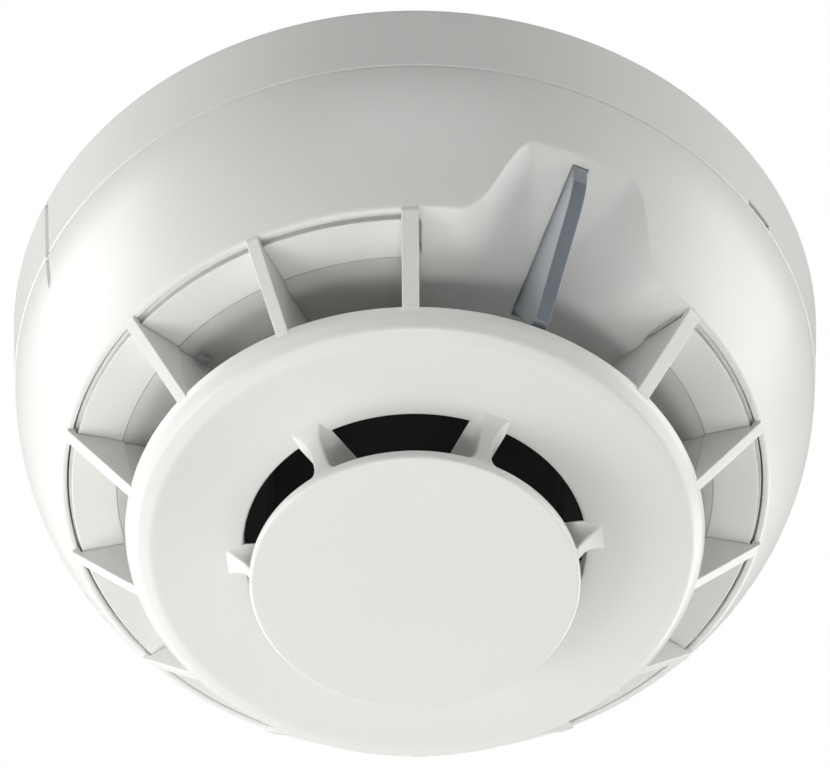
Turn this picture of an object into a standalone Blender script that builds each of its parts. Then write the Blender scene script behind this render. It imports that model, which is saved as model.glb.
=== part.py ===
"""Ceiling heat detector: a bayonet base with its terminals, and a head that twists off it.

Metres, +Z up. The origin is the centre of the base's ceiling face, so the detector hangs below z = 0.
Sizes are named in millimetres times MM. Azimuths are in degrees about +Z, from +X.
"""
import math

import bpy
from mathutils import Matrix, Vector

MM = 0.001

# Overall form
BASE_RADIUS = 54.6 * MM
BASE_HEIGHT = 11.65 * MM
SKIRT_TAPER = 0.7 * MM
SKIRT_WALL = 2.2 * MM
BASE_PLATE = 2.2 * MM
CABLE_HOLE_RADIUS = 13.0 * MM
SEAM_GAP = 0.35 * MM
HEAD_RADIUS = 53.8 * MM
COVER_WALL = 1.9 * MM
LIP_RADIUS = 46.6 * MM
LIP_Z = -32.8 * MM
DOME_BULGE = 1.7 * MM
LIP_WALL = 0.7 * MM

# Front cowl, struts and cap
COWL_RADIUS = 38.0 * MM
COWL_RIM_Z = -42.0 * MM
COWL_FACE_Z = -45.2 * MM
COWL_WALL = 1.8 * MM
THROAT_RADIUS = 22.4 * MM
CAP_RADIUS = 21.5 * MM
CAP_FACE_Z = -52.2 * MM
CAP_THICKNESS = 1.6 * MM
STRUT_COUNT = 6
STRUT_WIDTH = 1.5 * MM
STRUT_REACH = 10.0 * MM

# Fins across the air channel
FIN_PITCHES = 14
FIN_WIDTH = 2.0 * MM
FIN_INNER_RADIUS = 30.5 * MM

# Indicator scoop, in the gap of one missing fin
LED_AZIMUTH = 294.9
SCOOP_TOP_Z = -22.5 * MM
SCOOP_SLOPE = 0.5
SCOOP_FLAT_ANGLE = 9.0
SCOOP_EDGE_ANGLE = 21.0
SCOOP_INNER_RADIUS = 30.6 * MM
BLADE_WIDTH = 2.0 * MM
INDICATOR_RADIUS = 33.8 * MM
STEM_HALF = 1.6 * MM

# Inner mouldings
FLOOR_Z = -33.4 * MM
FLOOR_WALL = 1.4 * MM
RING_OUTER_RADIUS = 45.3 * MM
RING_INNER_RADIUS = 39.6 * MM
GUIDE_WALL = 1.6 * MM
REAR_TOP_Z = -10.2 * MM
REAR_WALL = 1.6 * MM
COLLAR_RADIUS = 47.8 * MM
COLLAR_TOP_Z = -5.4 * MM
BOARD_RADIUS = 39.5 * MM
BOARD_THICKNESS = 1.6 * MM
BOARD_TOP_Z = -18.0 * MM
CHAMBER_RADIUS = 21.6 * MM
CHAMBER_DEPTH = 3.0 * MM
GUARD_RADIUS = 26.5 * MM
GUARD_WALL = 0.8 * MM
BEAD_RADIUS = 1.2 * MM
BEAD_Z = -46.6 * MM
LEAD_RADIUS = 0.3 * MM
LEAD_SPACING = 1.4 * MM

# Bayonet and lock
BAYONET_COUNT = 3
LUG_ANGLE = 16.0
LUG_REACH = 3.3 * MM
LUG_THICKNESS = 2.0 * MM
LEDGE_THICKNESS = 2.0 * MM
LEDGE_REACH = 3.2 * MM
LATCH_WIDTH = 6.0 * MM
LATCH_THICKNESS = 1.0 * MM
LATCH_AZIMUTH = 327.4
TOOL_SLOT_LENGTH = 5.4 * MM
TOOL_SLOT_HEIGHT = 0.9 * MM
MARK_AZIMUTH = 205.3
MARK_WIDTH = 0.6 * MM
MARK_DEPTH = 0.5 * MM

# Terminals
TERMINAL_COUNT = 4
TERMINAL_RADIUS = 33.0 * MM
TERMINAL_AZIMUTH = 20.0
PLATE_LENGTH = 15.0 * MM
PLATE_WIDTH = 8.5 * MM
PLATE_THICKNESS = 0.8 * MM
PAD_HEIGHT = 1.4 * MM
TERMINAL_SHANK_RADIUS = 1.45 * MM
TERMINAL_HEAD_RADIUS = 2.9 * MM
TERMINAL_HEAD_HEIGHT = 1.8 * MM
SPRING_LENGTH = 12.0 * MM
CONTACT_REACH = 10.6 * MM
SPRING_WIDTH = 4.0 * MM
SPRING_THICKNESS = 0.4 * MM
CONTACT_TRAVEL = 0.9 * MM
TWIST_ANGLE = 18.0
LEG_RADIUS = 36.5 * MM
LEG_WIDTH = 2.6 * MM
LEG_THICKNESS = 0.8 * MM
LEG_ANGLE = 23.0
RAMP_LEAD = 3.0

# Fixings
FIXING_SPACING = 60.0 * MM
FIXING_SLOT_LENGTH = 9.0 * MM
FIXING_SLOT_WIDTH = 4.4 * MM
CASE_SCREW_COUNT = 3
CASE_SCREW_RADIUS = 1.3 * MM
CASE_SCREW_DEPTH = 6.5 * MM
CASE_SCREW_CIRCLE = 26.5 * MM
CASE_SCREW_AZIMUTH = 60.0
BOSS_RADIUS = 3.0 * MM

# Clearances
GAP = 0.3 * MM
RUNNING_GAP = 0.5 * MM
HOLE_CLEARANCE = 0.35 * MM
OVERLAP = 0.4 * MM

ROUND_STEPS = 72
SMALL_STEPS = 16

SEAM_Z = -BASE_HEIGHT
HEAD_TOP_Z = SEAM_Z - SEAM_GAP
CAP_BACK_Z = CAP_FACE_Z + CAP_THICKNESS
REAR_BOTTOM_Z = REAR_TOP_Z - REAR_WALL
BOARD_BOTTOM_Z = BOARD_TOP_Z - BOARD_THICKNESS
SKIRT_INNER_TOP = BASE_RADIUS - SKIRT_WALL
SKIRT_INNER_BOTTOM = BASE_RADIUS - SKIRT_TAPER - SKIRT_WALL
LUG_TOP_Z = COLLAR_TOP_Z - GAP
LUG_BOTTOM_Z = LUG_TOP_Z - LUG_THICKNESS
LEDGE_TOP_Z = LUG_BOTTOM_Z - GAP
LEDGE_BOTTOM_Z = LEDGE_TOP_Z - LEDGE_THICKNESS
GUIDE_RADIUS = RING_INNER_RADIUS - GAP
CONTACT_TIP_Z = REAR_TOP_Z + 2.4 * MM
FIN_ANGLES = [LED_AZIMUTH + (i + 1) * 360.0 / FIN_PITCHES for i in range(FIN_PITCHES - 1)]
STRUT_ANGLES = [LED_AZIMUTH + i * 360.0 / STRUT_COUNT for i in range(STRUT_COUNT)]
SECTOR_HALF = 360.0 / FIN_PITCHES


# ---------------------------------------------------------------- scene and materials

def clear_scene():
    for thing in list(bpy.data.objects):
        bpy.data.objects.remove(thing, do_unlink=True)


def make_collection(name, hidden=False):
    group = bpy.data.collections.new(name)
    bpy.context.scene.collection.children.link(group)
    group.hide_render = hidden
    return group


clear_scene()
PARTS = make_collection("heat_detector")
HELPERS = make_collection("cutters", hidden=True)


def make_material(name, color, roughness, metallic=0.0):
    material = bpy.data.materials.new(name)
    material.use_nodes = True
    shader = material.node_tree.nodes["Principled BSDF"]
    shader.inputs["Base Color"].default_value = (*color, 1.0)
    shader.inputs["Roughness"].default_value = roughness
    shader.inputs["Metallic"].default_value = metallic
    return material


WHITE = make_material("white_plastic", (0.80, 0.80, 0.77), 0.45)
BLACK = make_material("black_plastic", (0.012, 0.012, 0.012), 0.7)
CLEAR = make_material("clear_plastic", (0.45, 0.50, 0.56), 0.1)
RED = make_material("red_lens", (0.55, 0.02, 0.02), 0.2)
BRASS = make_material("brass", (0.72, 0.52, 0.22), 0.35, 1.0)
STEEL = make_material("steel", (0.62, 0.62, 0.60), 0.3, 1.0)
GREEN = make_material("circuit_board", (0.03, 0.16, 0.07), 0.5)
TINNED = make_material("tinned_metal", (0.70, 0.70, 0.68), 0.35, 1.0)
GLASS_BEAD = make_material("epoxy_bead", (0.05, 0.04, 0.03), 0.3)
CAPACITOR = make_material("sleeve", (0.05, 0.06, 0.12), 0.4)


# ---------------------------------------------------------------- modelling helpers

def polar(radius, azimuth, z=0.0):
    angle = math.radians(azimuth)
    return Vector((radius * math.cos(angle), radius * math.sin(angle), z))


def add_object(name, mesh, group, material=None):
    thing = bpy.data.objects.new(name, mesh)
    group.objects.link(thing)
    if material:
        mesh.materials.append(material)
    if group is HELPERS:
        thing.hide_render = True
        thing.display_type = "WIRE"
    return thing


def mesh_from(name, points, faces, edges=()):
    mesh = bpy.data.meshes.new(name)
    mesh.from_pydata([tuple(point) for point in points], list(edges), list(faces))
    mesh.update()
    return mesh


def turned(name, outline, group=PARTS, material=None, steps=ROUND_STEPS):
    """A closed or axis-to-axis outline of (radius, z) points, down its outer side, turned about Z."""
    points = [(radius, 0.0, z) for radius, z in outline]
    edges = [(i, i + 1) for i in range(len(points) - 1)]
    on_axis = outline[0][0] == 0.0 and outline[-1][0] == 0.0
    if not on_axis:
        edges.append((len(points) - 1, 0))
    thing = add_object(name, mesh_from(name, points, [], edges), group, material)
    screw = thing.modifiers.new("turn", "SCREW")
    screw.axis = "Z"
    screw.angle = math.tau
    screw.steps = steps
    screw.render_steps = steps
    screw.use_merge_vertices = True
    screw.merge_threshold = 0.00001
    screw.use_smooth_shade = False
    return thing


def prism(name, outline, thickness, group=PARTS, material=None):
    """A plate: the (x, y) outline, anticlockwise, from z = -thickness / 2 to z = thickness / 2."""
    count = len(outline)
    points = [(x, y, -thickness / 2) for x, y in outline] + [(x, y, thickness / 2) for x, y in outline]
    faces = [tuple(reversed(range(count))), tuple(range(count, 2 * count))]
    for i in range(count):
        j = (i + 1) % count
        faces.append((i, j, count + j, count + i))
    return add_object(name, mesh_from(name, points, faces), group, material)


def radial_plate(name, outline, thickness, azimuth, group=PARTS, material=None):
    """A plate standing in the radial plane at an azimuth, with its outline as (radius, z)."""
    thing = prism(name, outline, thickness, group, material)
    thing.matrix_world = Matrix.Rotation(math.radians(azimuth), 4, "Z") @ Matrix.Rotation(math.pi / 2, 4, "X")
    return thing


def box(name, size, place, azimuth=0.0, group=PARTS, material=None):
    """A box of (radial, tangential, height) size, centred at place, turned to an azimuth."""
    half_x, half_y = size[0] / 2, size[1] / 2
    outline = [(-half_x, -half_y), (half_x, -half_y), (half_x, half_y), (-half_x, half_y)]
    thing = prism(name, outline, size[2], group, material)
    thing.location = place
    thing.rotation_euler = (0.0, 0.0, math.radians(azimuth))
    return thing


def rod(name, radius, top, bottom, place, group=PARTS, material=None, steps=SMALL_STEPS):
    thing = turned(name, [(0.0, top), (radius, top), (radius, bottom), (0.0, bottom)], group, material, steps)
    thing.location = (place[0], place[1], 0.0)
    return thing


def sector(name, inner, outer, top, bottom, azimuth, angle, group=HELPERS, material=None, steps=6):
    """A block between two radii and two heights, spanning an angle about an azimuth."""
    angles = [azimuth - angle / 2 + angle * i / steps for i in range(steps + 1)]
    outline = [polar(outer, a)[:2] for a in angles] + [polar(inner, a)[:2] for a in reversed(angles)]
    thing = prism(name, outline, top - bottom, group, material)
    thing.location = (0.0, 0.0, (top + bottom) / 2)
    return thing


def combine(thing, other, operation):
    modifier = thing.modifiers.new(other.name, "BOOLEAN")
    modifier.operation = operation
    modifier.solver = "EXACT"
    modifier.object = other


def join(thing, *others):
    for other in others:
        combine(thing, other, "UNION")


def cut(thing, *others):
    for other in others:
        combine(thing, other, "DIFFERENCE")


def smoothstep(value):
    t = min(1.0, max(0.0, value))
    return t * t * (3.0 - 2.0 * t)


# ---------------------------------------------------------------- base

def base_outline():
    chamfer = 0.5 * MM
    return [
        (BASE_RADIUS - chamfer, 0.0),
        (BASE_RADIUS, -chamfer),
        (BASE_RADIUS - SKIRT_TAPER, SEAM_Z),
        (SKIRT_INNER_BOTTOM, SEAM_Z),
        (SKIRT_INNER_TOP, -BASE_PLATE),
        (CABLE_HOLE_RADIUS, -BASE_PLATE),
        (CABLE_HOLE_RADIUS, 0.0),
    ]


def terminal_angle(index):
    return TERMINAL_AZIMUTH + index * 360.0 / TERMINAL_COUNT


def slot_cutter(name, place):
    """A round-ended slot along Y through the base plate."""
    half = (FIXING_SLOT_LENGTH - FIXING_SLOT_WIDTH) / 2
    outline = []
    for side in (1.0, -1.0):
        for i in range(9):
            angle = math.radians(-90.0 + 22.5 * i) + (0.0 if side > 0 else math.pi)
            outline.append((side * half + FIXING_SLOT_WIDTH / 2 * math.cos(angle), FIXING_SLOT_WIDTH / 2 * math.sin(angle)))
    thing = prism(name, outline, 3 * BASE_PLATE, HELPERS)
    thing.location = (place[0], place[1], -BASE_PLATE / 2)
    thing.rotation_euler = (0.0, 0.0, math.pi / 2)
    return thing


def make_base():
    shell = turned("base_shell", base_outline(), material=WHITE)
    for i in range(BAYONET_COUNT):
        azimuth = LED_AZIMUTH + i * 360.0 / BAYONET_COUNT
        inner = SKIRT_INNER_TOP - LEDGE_REACH
        outer = SKIRT_INNER_TOP + SKIRT_WALL / 2
        join(shell, sector(f"ledge_{i}", inner, outer, LEDGE_TOP_Z, LEDGE_BOTTOM_Z, azimuth, LUG_ANGLE))
        stop = azimuth + LUG_ANGLE / 2 + 1.4
        join(shell, sector(f"stop_{i}", inner, outer, -BASE_PLATE + OVERLAP, LEDGE_BOTTOM_Z, stop, 2.0, steps=2))
    for i in range(TERMINAL_COUNT):
        azimuth = terminal_angle(i)
        size = (PLATE_WIDTH, PLATE_LENGTH, PAD_HEIGHT + OVERLAP)
        place = polar(TERMINAL_RADIUS, azimuth, -BASE_PLATE + OVERLAP - size[2] / 2)
        join(shell, box(f"pad_{i}", size, place, azimuth, HELPERS))
        hole = rod(f"pad_hole_{i}", TERMINAL_SHANK_RADIUS + HOLE_CLEARANCE, -1.0 * MM, -6.0 * MM, screw_place(i), HELPERS)
        cut(shell, hole)
    for side in (1, -1):
        cut(shell, slot_cutter(f"fixing_slot_{side}", (side * FIXING_SPACING / 2, 0.0)))
    slot_z = SEAM_Z + 0.75 * MM
    slot_place = polar(BASE_RADIUS - SKIRT_WALL / 2, LATCH_AZIMUTH, slot_z)
    slot_size = (3 * SKIRT_WALL, TOOL_SLOT_LENGTH, TOOL_SLOT_HEIGHT)
    cut(shell, box("tool_slot", slot_size, slot_place, LATCH_AZIMUTH, HELPERS))
    mark_size = (2 * MARK_DEPTH, MARK_WIDTH, BASE_HEIGHT - 1.2 * MM)
    mark_place = polar(BASE_RADIUS - SKIRT_TAPER / 2, MARK_AZIMUTH, SEAM_Z + mark_size[2] / 2 - 0.5 * MM)
    cut(shell, box("base_mark", mark_size, mark_place, MARK_AZIMUTH, HELPERS))
    latch_root = box("latch_root", (LATCH_THICKNESS + 2.4 * MM, LATCH_WIDTH, 2.0 * MM),
                     polar(SKIRT_INNER_TOP - 1.2 * MM, LATCH_AZIMUTH, -BASE_PLATE - 1.0 * MM + OVERLAP),
                     LATCH_AZIMUTH, HELPERS)
    join(shell, latch_root)
    return shell


def screw_place(index):
    """The terminal screw stands at one end of its plate."""
    azimuth = terminal_angle(index)
    along = polar(PLATE_LENGTH / 2 - 4.0 * MM, azimuth - 90.0)
    return polar(TERMINAL_RADIUS, azimuth) + along


def make_terminal(index):
    azimuth = terminal_angle(index)
    plate_top = -BASE_PLATE - PAD_HEIGHT - GAP
    plate_bottom = plate_top - PLATE_THICKNESS
    place = polar(TERMINAL_RADIUS, azimuth, (plate_top + plate_bottom) / 2)
    number = index + 1
    plate = box(f"terminal_plate_{number}", (PLATE_WIDTH, PLATE_LENGTH, PLATE_THICKNESS), place, azimuth, material=BRASS)
    hole_radius = TERMINAL_SHANK_RADIUS + HOLE_CLEARANCE
    spot = screw_place(index)
    cut(plate, rod(f"plate_hole_{number}", hole_radius, -1.0 * MM, -9.0 * MM, spot, HELPERS))
    clamp_top = plate_bottom - GAP
    clamp_bottom = clamp_top - PLATE_THICKNESS
    side = 7.0 * MM
    clamp = box(f"terminal_clamp_{number}", (side, side, PLATE_THICKNESS),
                (spot[0], spot[1], (clamp_top + clamp_bottom) / 2), azimuth, material=STEEL)
    cut(clamp, rod(f"clamp_hole_{number}", hole_radius, -1.0 * MM, -9.0 * MM, spot, HELPERS))
    head_top = clamp_bottom - GAP
    head_bottom = head_top - TERMINAL_HEAD_HEIGHT
    shank_end = -1.3 * MM
    outline = [(0.0, shank_end), (TERMINAL_SHANK_RADIUS, shank_end), (TERMINAL_SHANK_RADIUS, head_top),
               (TERMINAL_HEAD_RADIUS, head_top), (TERMINAL_HEAD_RADIUS, head_bottom + 0.4 * MM),
               (TERMINAL_HEAD_RADIUS - 0.5 * MM, head_bottom), (0.0, head_bottom)]
    screw = turned(f"terminal_screw_{number}", outline, material=STEEL, steps=SMALL_STEPS)
    screw.location = (spot[0], spot[1], 0.0)
    slot_size = (2.2 * TERMINAL_HEAD_RADIUS, 0.9 * MM, 1.6 * MM)
    cut(screw, box(f"driver_slot_{number}", slot_size, (spot[0], spot[1], head_bottom), azimuth + 30.0, HELPERS))


def spring_root(index):
    """The bend of a contact spring, just past the end of its terminal plate."""
    azimuth = terminal_angle(index)
    along = polar(PLATE_LENGTH / 2 + SPRING_THICKNESS / 2 + GAP, azimuth + 90.0)
    root_z = -BASE_PLATE - PAD_HEIGHT - GAP - PLATE_THICKNESS / 2
    return polar(TERMINAL_RADIUS, azimuth) + along + Vector((0.0, 0.0, root_z))


def spring_contact(index):
    """Where the spring's rounded tip bears on the head's contact blade, seen from above."""
    return spring_root(index).to_2d() + polar(CONTACT_REACH, terminal_angle(index) + 90.0).to_2d()


def make_contact_spring(index):
    """A leaf that slopes from a bend at the plate's end to a rounded tip on the head's blade."""
    azimuth = terminal_angle(index)
    root = spring_root(index)
    drop = CONTACT_TIP_Z - root[2]
    half = SPRING_THICKNESS / 2
    crown = 0.6 * MM
    centre = [(0.0, 0.0), (1.0 * MM, 0.0), (2.2 * MM, drop * 0.15), (CONTACT_REACH - 1.6 * MM, drop + crown),
              (CONTACT_REACH - 0.6 * MM, drop), (CONTACT_REACH + 0.6 * MM, drop), (SPRING_LENGTH, drop + crown)]
    lower = [(x, z - half) for x, z in centre]
    upper = [(x, z + half) for x, z in centre]
    leaf = prism(f"contact_spring_{index + 1}", lower + list(reversed(upper)), SPRING_WIDTH, PARTS, STEEL)
    direction = polar(1.0, azimuth + 90.0)
    up = Vector((0.0, 0.0, 1.0))
    turn = Matrix((direction, up, direction.cross(up))).transposed().to_4x4()
    leaf.matrix_world = Matrix.Translation(root) @ turn
    return leaf


def make_latch():
    """A flexible tongue that hangs from the base plate behind the tool slot."""
    top = -BASE_PLATE - 2.0 * MM - GAP + OVERLAP
    bottom = SEAM_Z + 0.6 * MM
    outer = SKIRT_INNER_BOTTOM - 0.9 * MM
    inner = outer - LATCH_THICKNESS
    hook = 0.7 * MM
    outline = [(inner, top), (inner, bottom + 1.6 * MM), (inner - hook, bottom + 0.8 * MM), (inner - hook, bottom),
               (outer, bottom), (outer, top)]
    return radial_plate("lock_latch", outline, LATCH_WIDTH, LATCH_AZIMUTH, PARTS, WHITE)


# ---------------------------------------------------------------- outer cover

def dome_point(share):
    """A point on the dome's outer curve, from the seam at 0 to the lip at 1, as (radius, z)."""
    start = Vector((HEAD_RADIUS, HEAD_TOP_Z))
    end = Vector((LIP_RADIUS, LIP_Z))
    chord = end - start
    length = chord.length
    normal = Vector((-chord[1], chord[0])) / length
    curve = (length * length / 4 + DOME_BULGE * DOME_BULGE) / (2 * DOME_BULGE)
    half = math.asin(length / 2 / curve)
    angle = half * (2 * share - 1)
    middle = (start + end) / 2 - normal * (curve - DOME_BULGE)
    return middle + curve * (normal * math.cos(angle) + chord / length * math.sin(angle))


def scoop_floor(radius, off_angle):
    """Height of the scoop's surface at a radius and an angle from the indicator."""
    centre = SCOOP_TOP_Z - (dome_top_radius() - radius) * SCOOP_SLOPE
    side = LIP_Z - 0.1 * MM - 0.06 * (LIP_RADIUS - radius)
    left = (SCOOP_EDGE_ANGLE - abs(off_angle)) / (SCOOP_EDGE_ANGLE - SCOOP_FLAT_ANGLE)
    left = min(1.0, max(0.0, left))
    blend = smoothstep(1.0 - left * left)
    return centre + (side - centre) * blend


def dome_top_radius():
    return HEAD_RADIUS - 1.8 * MM


def scoop_edge(off_angle):
    """Share along the dome's curve where the scoop begins at an angle from the indicator."""
    low, high = 0.0, 1.0
    for _ in range(30):
        middle = (low + high) / 2
        radius, z = dome_point(middle)
        if z > scoop_floor(radius, off_angle):
            low = middle
        else:
            high = middle
    return min(high, 0.985)


def cover_section(azimuth, scooped):
    """The closed outline of the cover's wall at an azimuth, always with the same number of points."""
    off_angle = (azimuth - LED_AZIMUTH + 180.0) % 360.0 - 180.0
    edge = scoop_edge(off_angle) if scooped else 0.97
    outer = [dome_point(edge * i / 5) for i in range(6)]
    inner_scale = [Vector((COVER_WALL, 0.0)) * (1.0 - 0.25 * i / 5) for i in range(6)]
    if scooped:
        start_radius = outer[-1][0] - 0.5 * MM
        radii = [start_radius + (SCOOP_INNER_RADIUS - start_radius) * i / 5 for i in range(6)]
        floor = [Vector((r, scoop_floor(r, off_angle))) for r in radii]
        back = [point + Vector((0.0, COVER_WALL * 0.8)) for point in reversed(floor)]
        back[-1] = back[-1] + Vector((-1.0 * MM, 0.5 * MM))
    else:
        tip = dome_point(1.0)
        floor = [tip + Vector((-0.15 * MM, 0.1 * MM)), tip + Vector((-0.45 * MM, 0.0)),
                 tip + Vector((-LIP_WALL, 0.25 * MM)), tip + Vector((-LIP_WALL, 0.9 * MM)),
                 tip + Vector((-LIP_WALL, 1.5 * MM)), tip + Vector((-LIP_WALL, 2.1 * MM))]
        back = [tip + Vector((-LIP_WALL, z * MM)) for z in (2.5, 2.8, 3.1, 3.4, 3.7)]
        back.append(tip + Vector((-LIP_WALL, 4.0 * MM)))
    inside = [point - offset for point, offset in zip(outer, inner_scale)]
    inside.reverse()
    limit = back[-1][1]
    shown = []
    for i, point in enumerate(inside):
        z = max(point[1], limit + (i + 1) * 0.35 * MM)
        shown.append(Vector((point[0] if point[1] >= limit else inner_radius_at(z), z)))
    return outer + floor + back + shown


def inner_radius_at(z):
    """Radius of the dome's inner face at a height."""
    low, high = 0.0, 1.0
    for _ in range(30):
        middle = (low + high) / 2
        if dome_point(middle)[1] > z:
            low = middle
        else:
            high = middle
    return dome_point(low)[0] - COVER_WALL


def cover_angles():
    """(azimuth, scooped) for each section, denser across the scoop, with a step inside each end fin."""
    found = []
    regular = 4 * (FIN_PITCHES - 2)
    start = LED_AZIMUTH + SECTOR_HALF
    for i in range(regular + 1):
        found.append((start + i * (360.0 - 2 * SECTOR_HALF) / regular, False))
    half_step = 0.5
    scoop_steps = 18
    span = 2 * SECTOR_HALF - 2 * half_step
    for i in range(scoop_steps + 1):
        found.append((LED_AZIMUTH - SECTOR_HALF + half_step + span * i / scoop_steps, True))
    return found


def make_cover_wall():
    sections = []
    for azimuth, scooped in cover_angles():
        sections.append([polar(r, azimuth, z) for r, z in cover_section(azimuth, scooped)])
    count = len(sections[0])
    points = [point for section in sections for point in section]
    faces = []
    for i in range(len(sections)):
        j = (i + 1) % len(sections)
        for k in range(count):
            m = (k + 1) % count
            faces.append((i * count + k, i * count + m, j * count + m, j * count + k))
    return add_object("outer_cover", mesh_from("outer_cover", points, faces), PARTS, WHITE)


def cowl_outline():
    rim = COWL_RADIUS
    face = COWL_FACE_Z
    throat = THROAT_RADIUS
    return [
        (rim - 0.6 * MM, COWL_RIM_Z + 0.5 * MM),
        (rim, COWL_RIM_Z),
        (rim - 0.5 * MM, COWL_RIM_Z - 1.3 * MM),
        (rim - 1.5 * MM, COWL_RIM_Z - 2.4 * MM),
        (rim - 3.2 * MM, face),
        (throat + 4.0 * MM, face + 0.25 * MM),
        (throat + 1.2 * MM, face + 0.6 * MM),
        (throat, face + 1.6 * MM),
        (throat, face + 4.2 * MM),
        (throat + COWL_WALL, face + 4.2 * MM),
        (throat + COWL_WALL + 0.4 * MM, face + COWL_WALL + 0.4 * MM),
        (rim - 4.0 * MM, face + COWL_WALL),
        (rim - 2.4 * MM, COWL_RIM_Z - 0.8 * MM),
    ]


def fin_outline():
    tip = dome_point(1.0)
    foot = FLOOR_Z - GAP
    return [
        (FIN_INNER_RADIUS, foot),
        (FIN_INNER_RADIUS, COWL_FACE_Z + COWL_WALL / 2),
        (COWL_RADIUS - 3.0 * MM, COWL_FACE_Z + COWL_WALL / 2),
        (COWL_RADIUS - 0.9 * MM, COWL_RIM_Z - 0.6 * MM),
        (COWL_RADIUS + 0.3 * MM, COWL_RIM_Z - 0.3 * MM),
        (LIP_RADIUS - 0.1 * MM, tip[1] - 0.5 * MM),
        (LIP_RADIUS - 0.1 * MM, tip[1] + 1.3 * MM),
        (LIP_RADIUS - LIP_WALL + 0.1 * MM, tip[1] + 1.3 * MM),
        (RING_OUTER_RADIUS + GAP, foot),
    ]


def strut_outline():
    return [
        (THROAT_RADIUS + 0.9 * MM, COWL_FACE_Z + 3.8 * MM),
        (THROAT_RADIUS - 3.0 * MM, COWL_FACE_Z + 4.9 * MM),
        (THROAT_RADIUS - 7.6 * MM, COWL_FACE_Z + 3.2 * MM),
        (STRUT_REACH, CAP_BACK_Z - OVERLAP),
        (CAP_RADIUS - 0.7 * MM, CAP_BACK_Z - OVERLAP),
        (CAP_RADIUS - 0.2 * MM, CAP_BACK_Z + 0.4 * MM),
        (THROAT_RADIUS + 0.2 * MM, COWL_FACE_Z - 0.6 * MM),
        (THROAT_RADIUS + 2.6 * MM, COWL_FACE_Z + 0.1 * MM),
        (THROAT_RADIUS + 2.6 * MM, COWL_FACE_Z + 1.2 * MM),
    ]


def cap_outline():
    edge = 0.5 * MM
    return [
        (0.0, CAP_BACK_Z),
        (CAP_RADIUS - edge, CAP_BACK_Z),
        (CAP_RADIUS, CAP_BACK_Z - edge),
        (CAP_RADIUS, CAP_FACE_Z + edge),
        (CAP_RADIUS - edge, CAP_FACE_Z),
        (0.0, CAP_FACE_Z),
    ]


def make_cover():
    cover = make_cover_wall()
    join(cover, turned("cowl", cowl_outline(), HELPERS))
    for i, azimuth in enumerate(FIN_ANGLES):
        join(cover, radial_plate(f"fin_{i}", fin_outline(), FIN_WIDTH, azimuth, HELPERS))
    join(cover, turned("cap", cap_outline(), HELPERS))
    for i, azimuth in enumerate(STRUT_ANGLES):
        join(cover, radial_plate(f"strut_{i}", strut_outline(), STRUT_WIDTH, azimuth, HELPERS))
    slot = radial_plate("blade_slot", blade_slot_outline(), BLADE_WIDTH + 2 * GAP, LED_AZIMUTH, HELPERS)
    cut(cover, slot)
    mark_size = (2 * MARK_DEPTH, MARK_WIDTH, 6.0 * MM)
    mark_place = polar(HEAD_RADIUS, MARK_AZIMUTH, HEAD_TOP_Z - mark_size[2] / 2 + 0.3 * MM)
    cut(cover, box("cover_mark", mark_size, mark_place, MARK_AZIMUTH, HELPERS))
    return cover


# ---------------------------------------------------------------- light pipe

def blade_front():
    """The blade's front edge, as (radius, z), from its top in the scoop to its end behind the cowl."""
    top = dome_top_radius() - 1.4 * MM
    return [
        (top, scoop_floor(top, 0.0) - 0.3 * MM),
        (LIP_RADIUS + 3.3 * MM, LIP_Z + 4.8 * MM),
        (LIP_RADIUS + 1.1 * MM, LIP_Z + 2.4 * MM),
        (LIP_RADIUS - 1.3 * MM, LIP_Z - 0.5 * MM),
        (LIP_RADIUS - 3.8 * MM, LIP_Z - 3.6 * MM),
        (COWL_RADIUS + 2.2 * MM, COWL_RIM_Z + 2.7 * MM),
        (COWL_RADIUS + 0.5 * MM, COWL_RIM_Z + 0.8 * MM),
        (COWL_RADIUS - 1.4 * MM, COWL_RIM_Z + 0.8 * MM),
        (SCOOP_INNER_RADIUS + 3.4 * MM, COWL_RIM_Z + 5.5 * MM),
        (SCOOP_INNER_RADIUS + 2.4 * MM, LIP_Z - 1.7 * MM),
    ]


def blade_slot_outline():
    outer = blade_front()[0][0] + GAP
    inner = INDICATOR_RADIUS - STEM_HALF - GAP
    reach = 4.0 * MM
    return [
        (outer, scoop_floor(outer, 0.0) - reach),
        (outer, scoop_floor(outer, 0.0) + reach),
        (inner, scoop_floor(inner, 0.0) + reach),
        (inner, scoop_floor(inner, 0.0) - reach),
    ]


def make_light_pipe():
    front = blade_front()
    stem_outer = INDICATOR_RADIUS + STEM_HALF
    stem_inner = INDICATOR_RADIUS - STEM_HALF
    top = BOARD_BOTTOM_Z - 3.2 * MM - GAP
    depth = 1.4 * MM
    back = [
        (stem_inner, scoop_floor(stem_inner, 0.0) - 1.0 * MM),
        (stem_inner, top),
        (stem_outer, top),
        (stem_outer, scoop_floor(stem_outer, 0.0) + depth + 1.0 * MM),
        (front[0][0], scoop_floor(front[0][0], 0.0) + depth),
    ]
    outline = list(reversed(front + back))
    return radial_plate("light_pipe", outline, BLADE_WIDTH, LED_AZIMUTH, PARTS, CLEAR)


# ---------------------------------------------------------------- inner mouldings of the head

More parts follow.
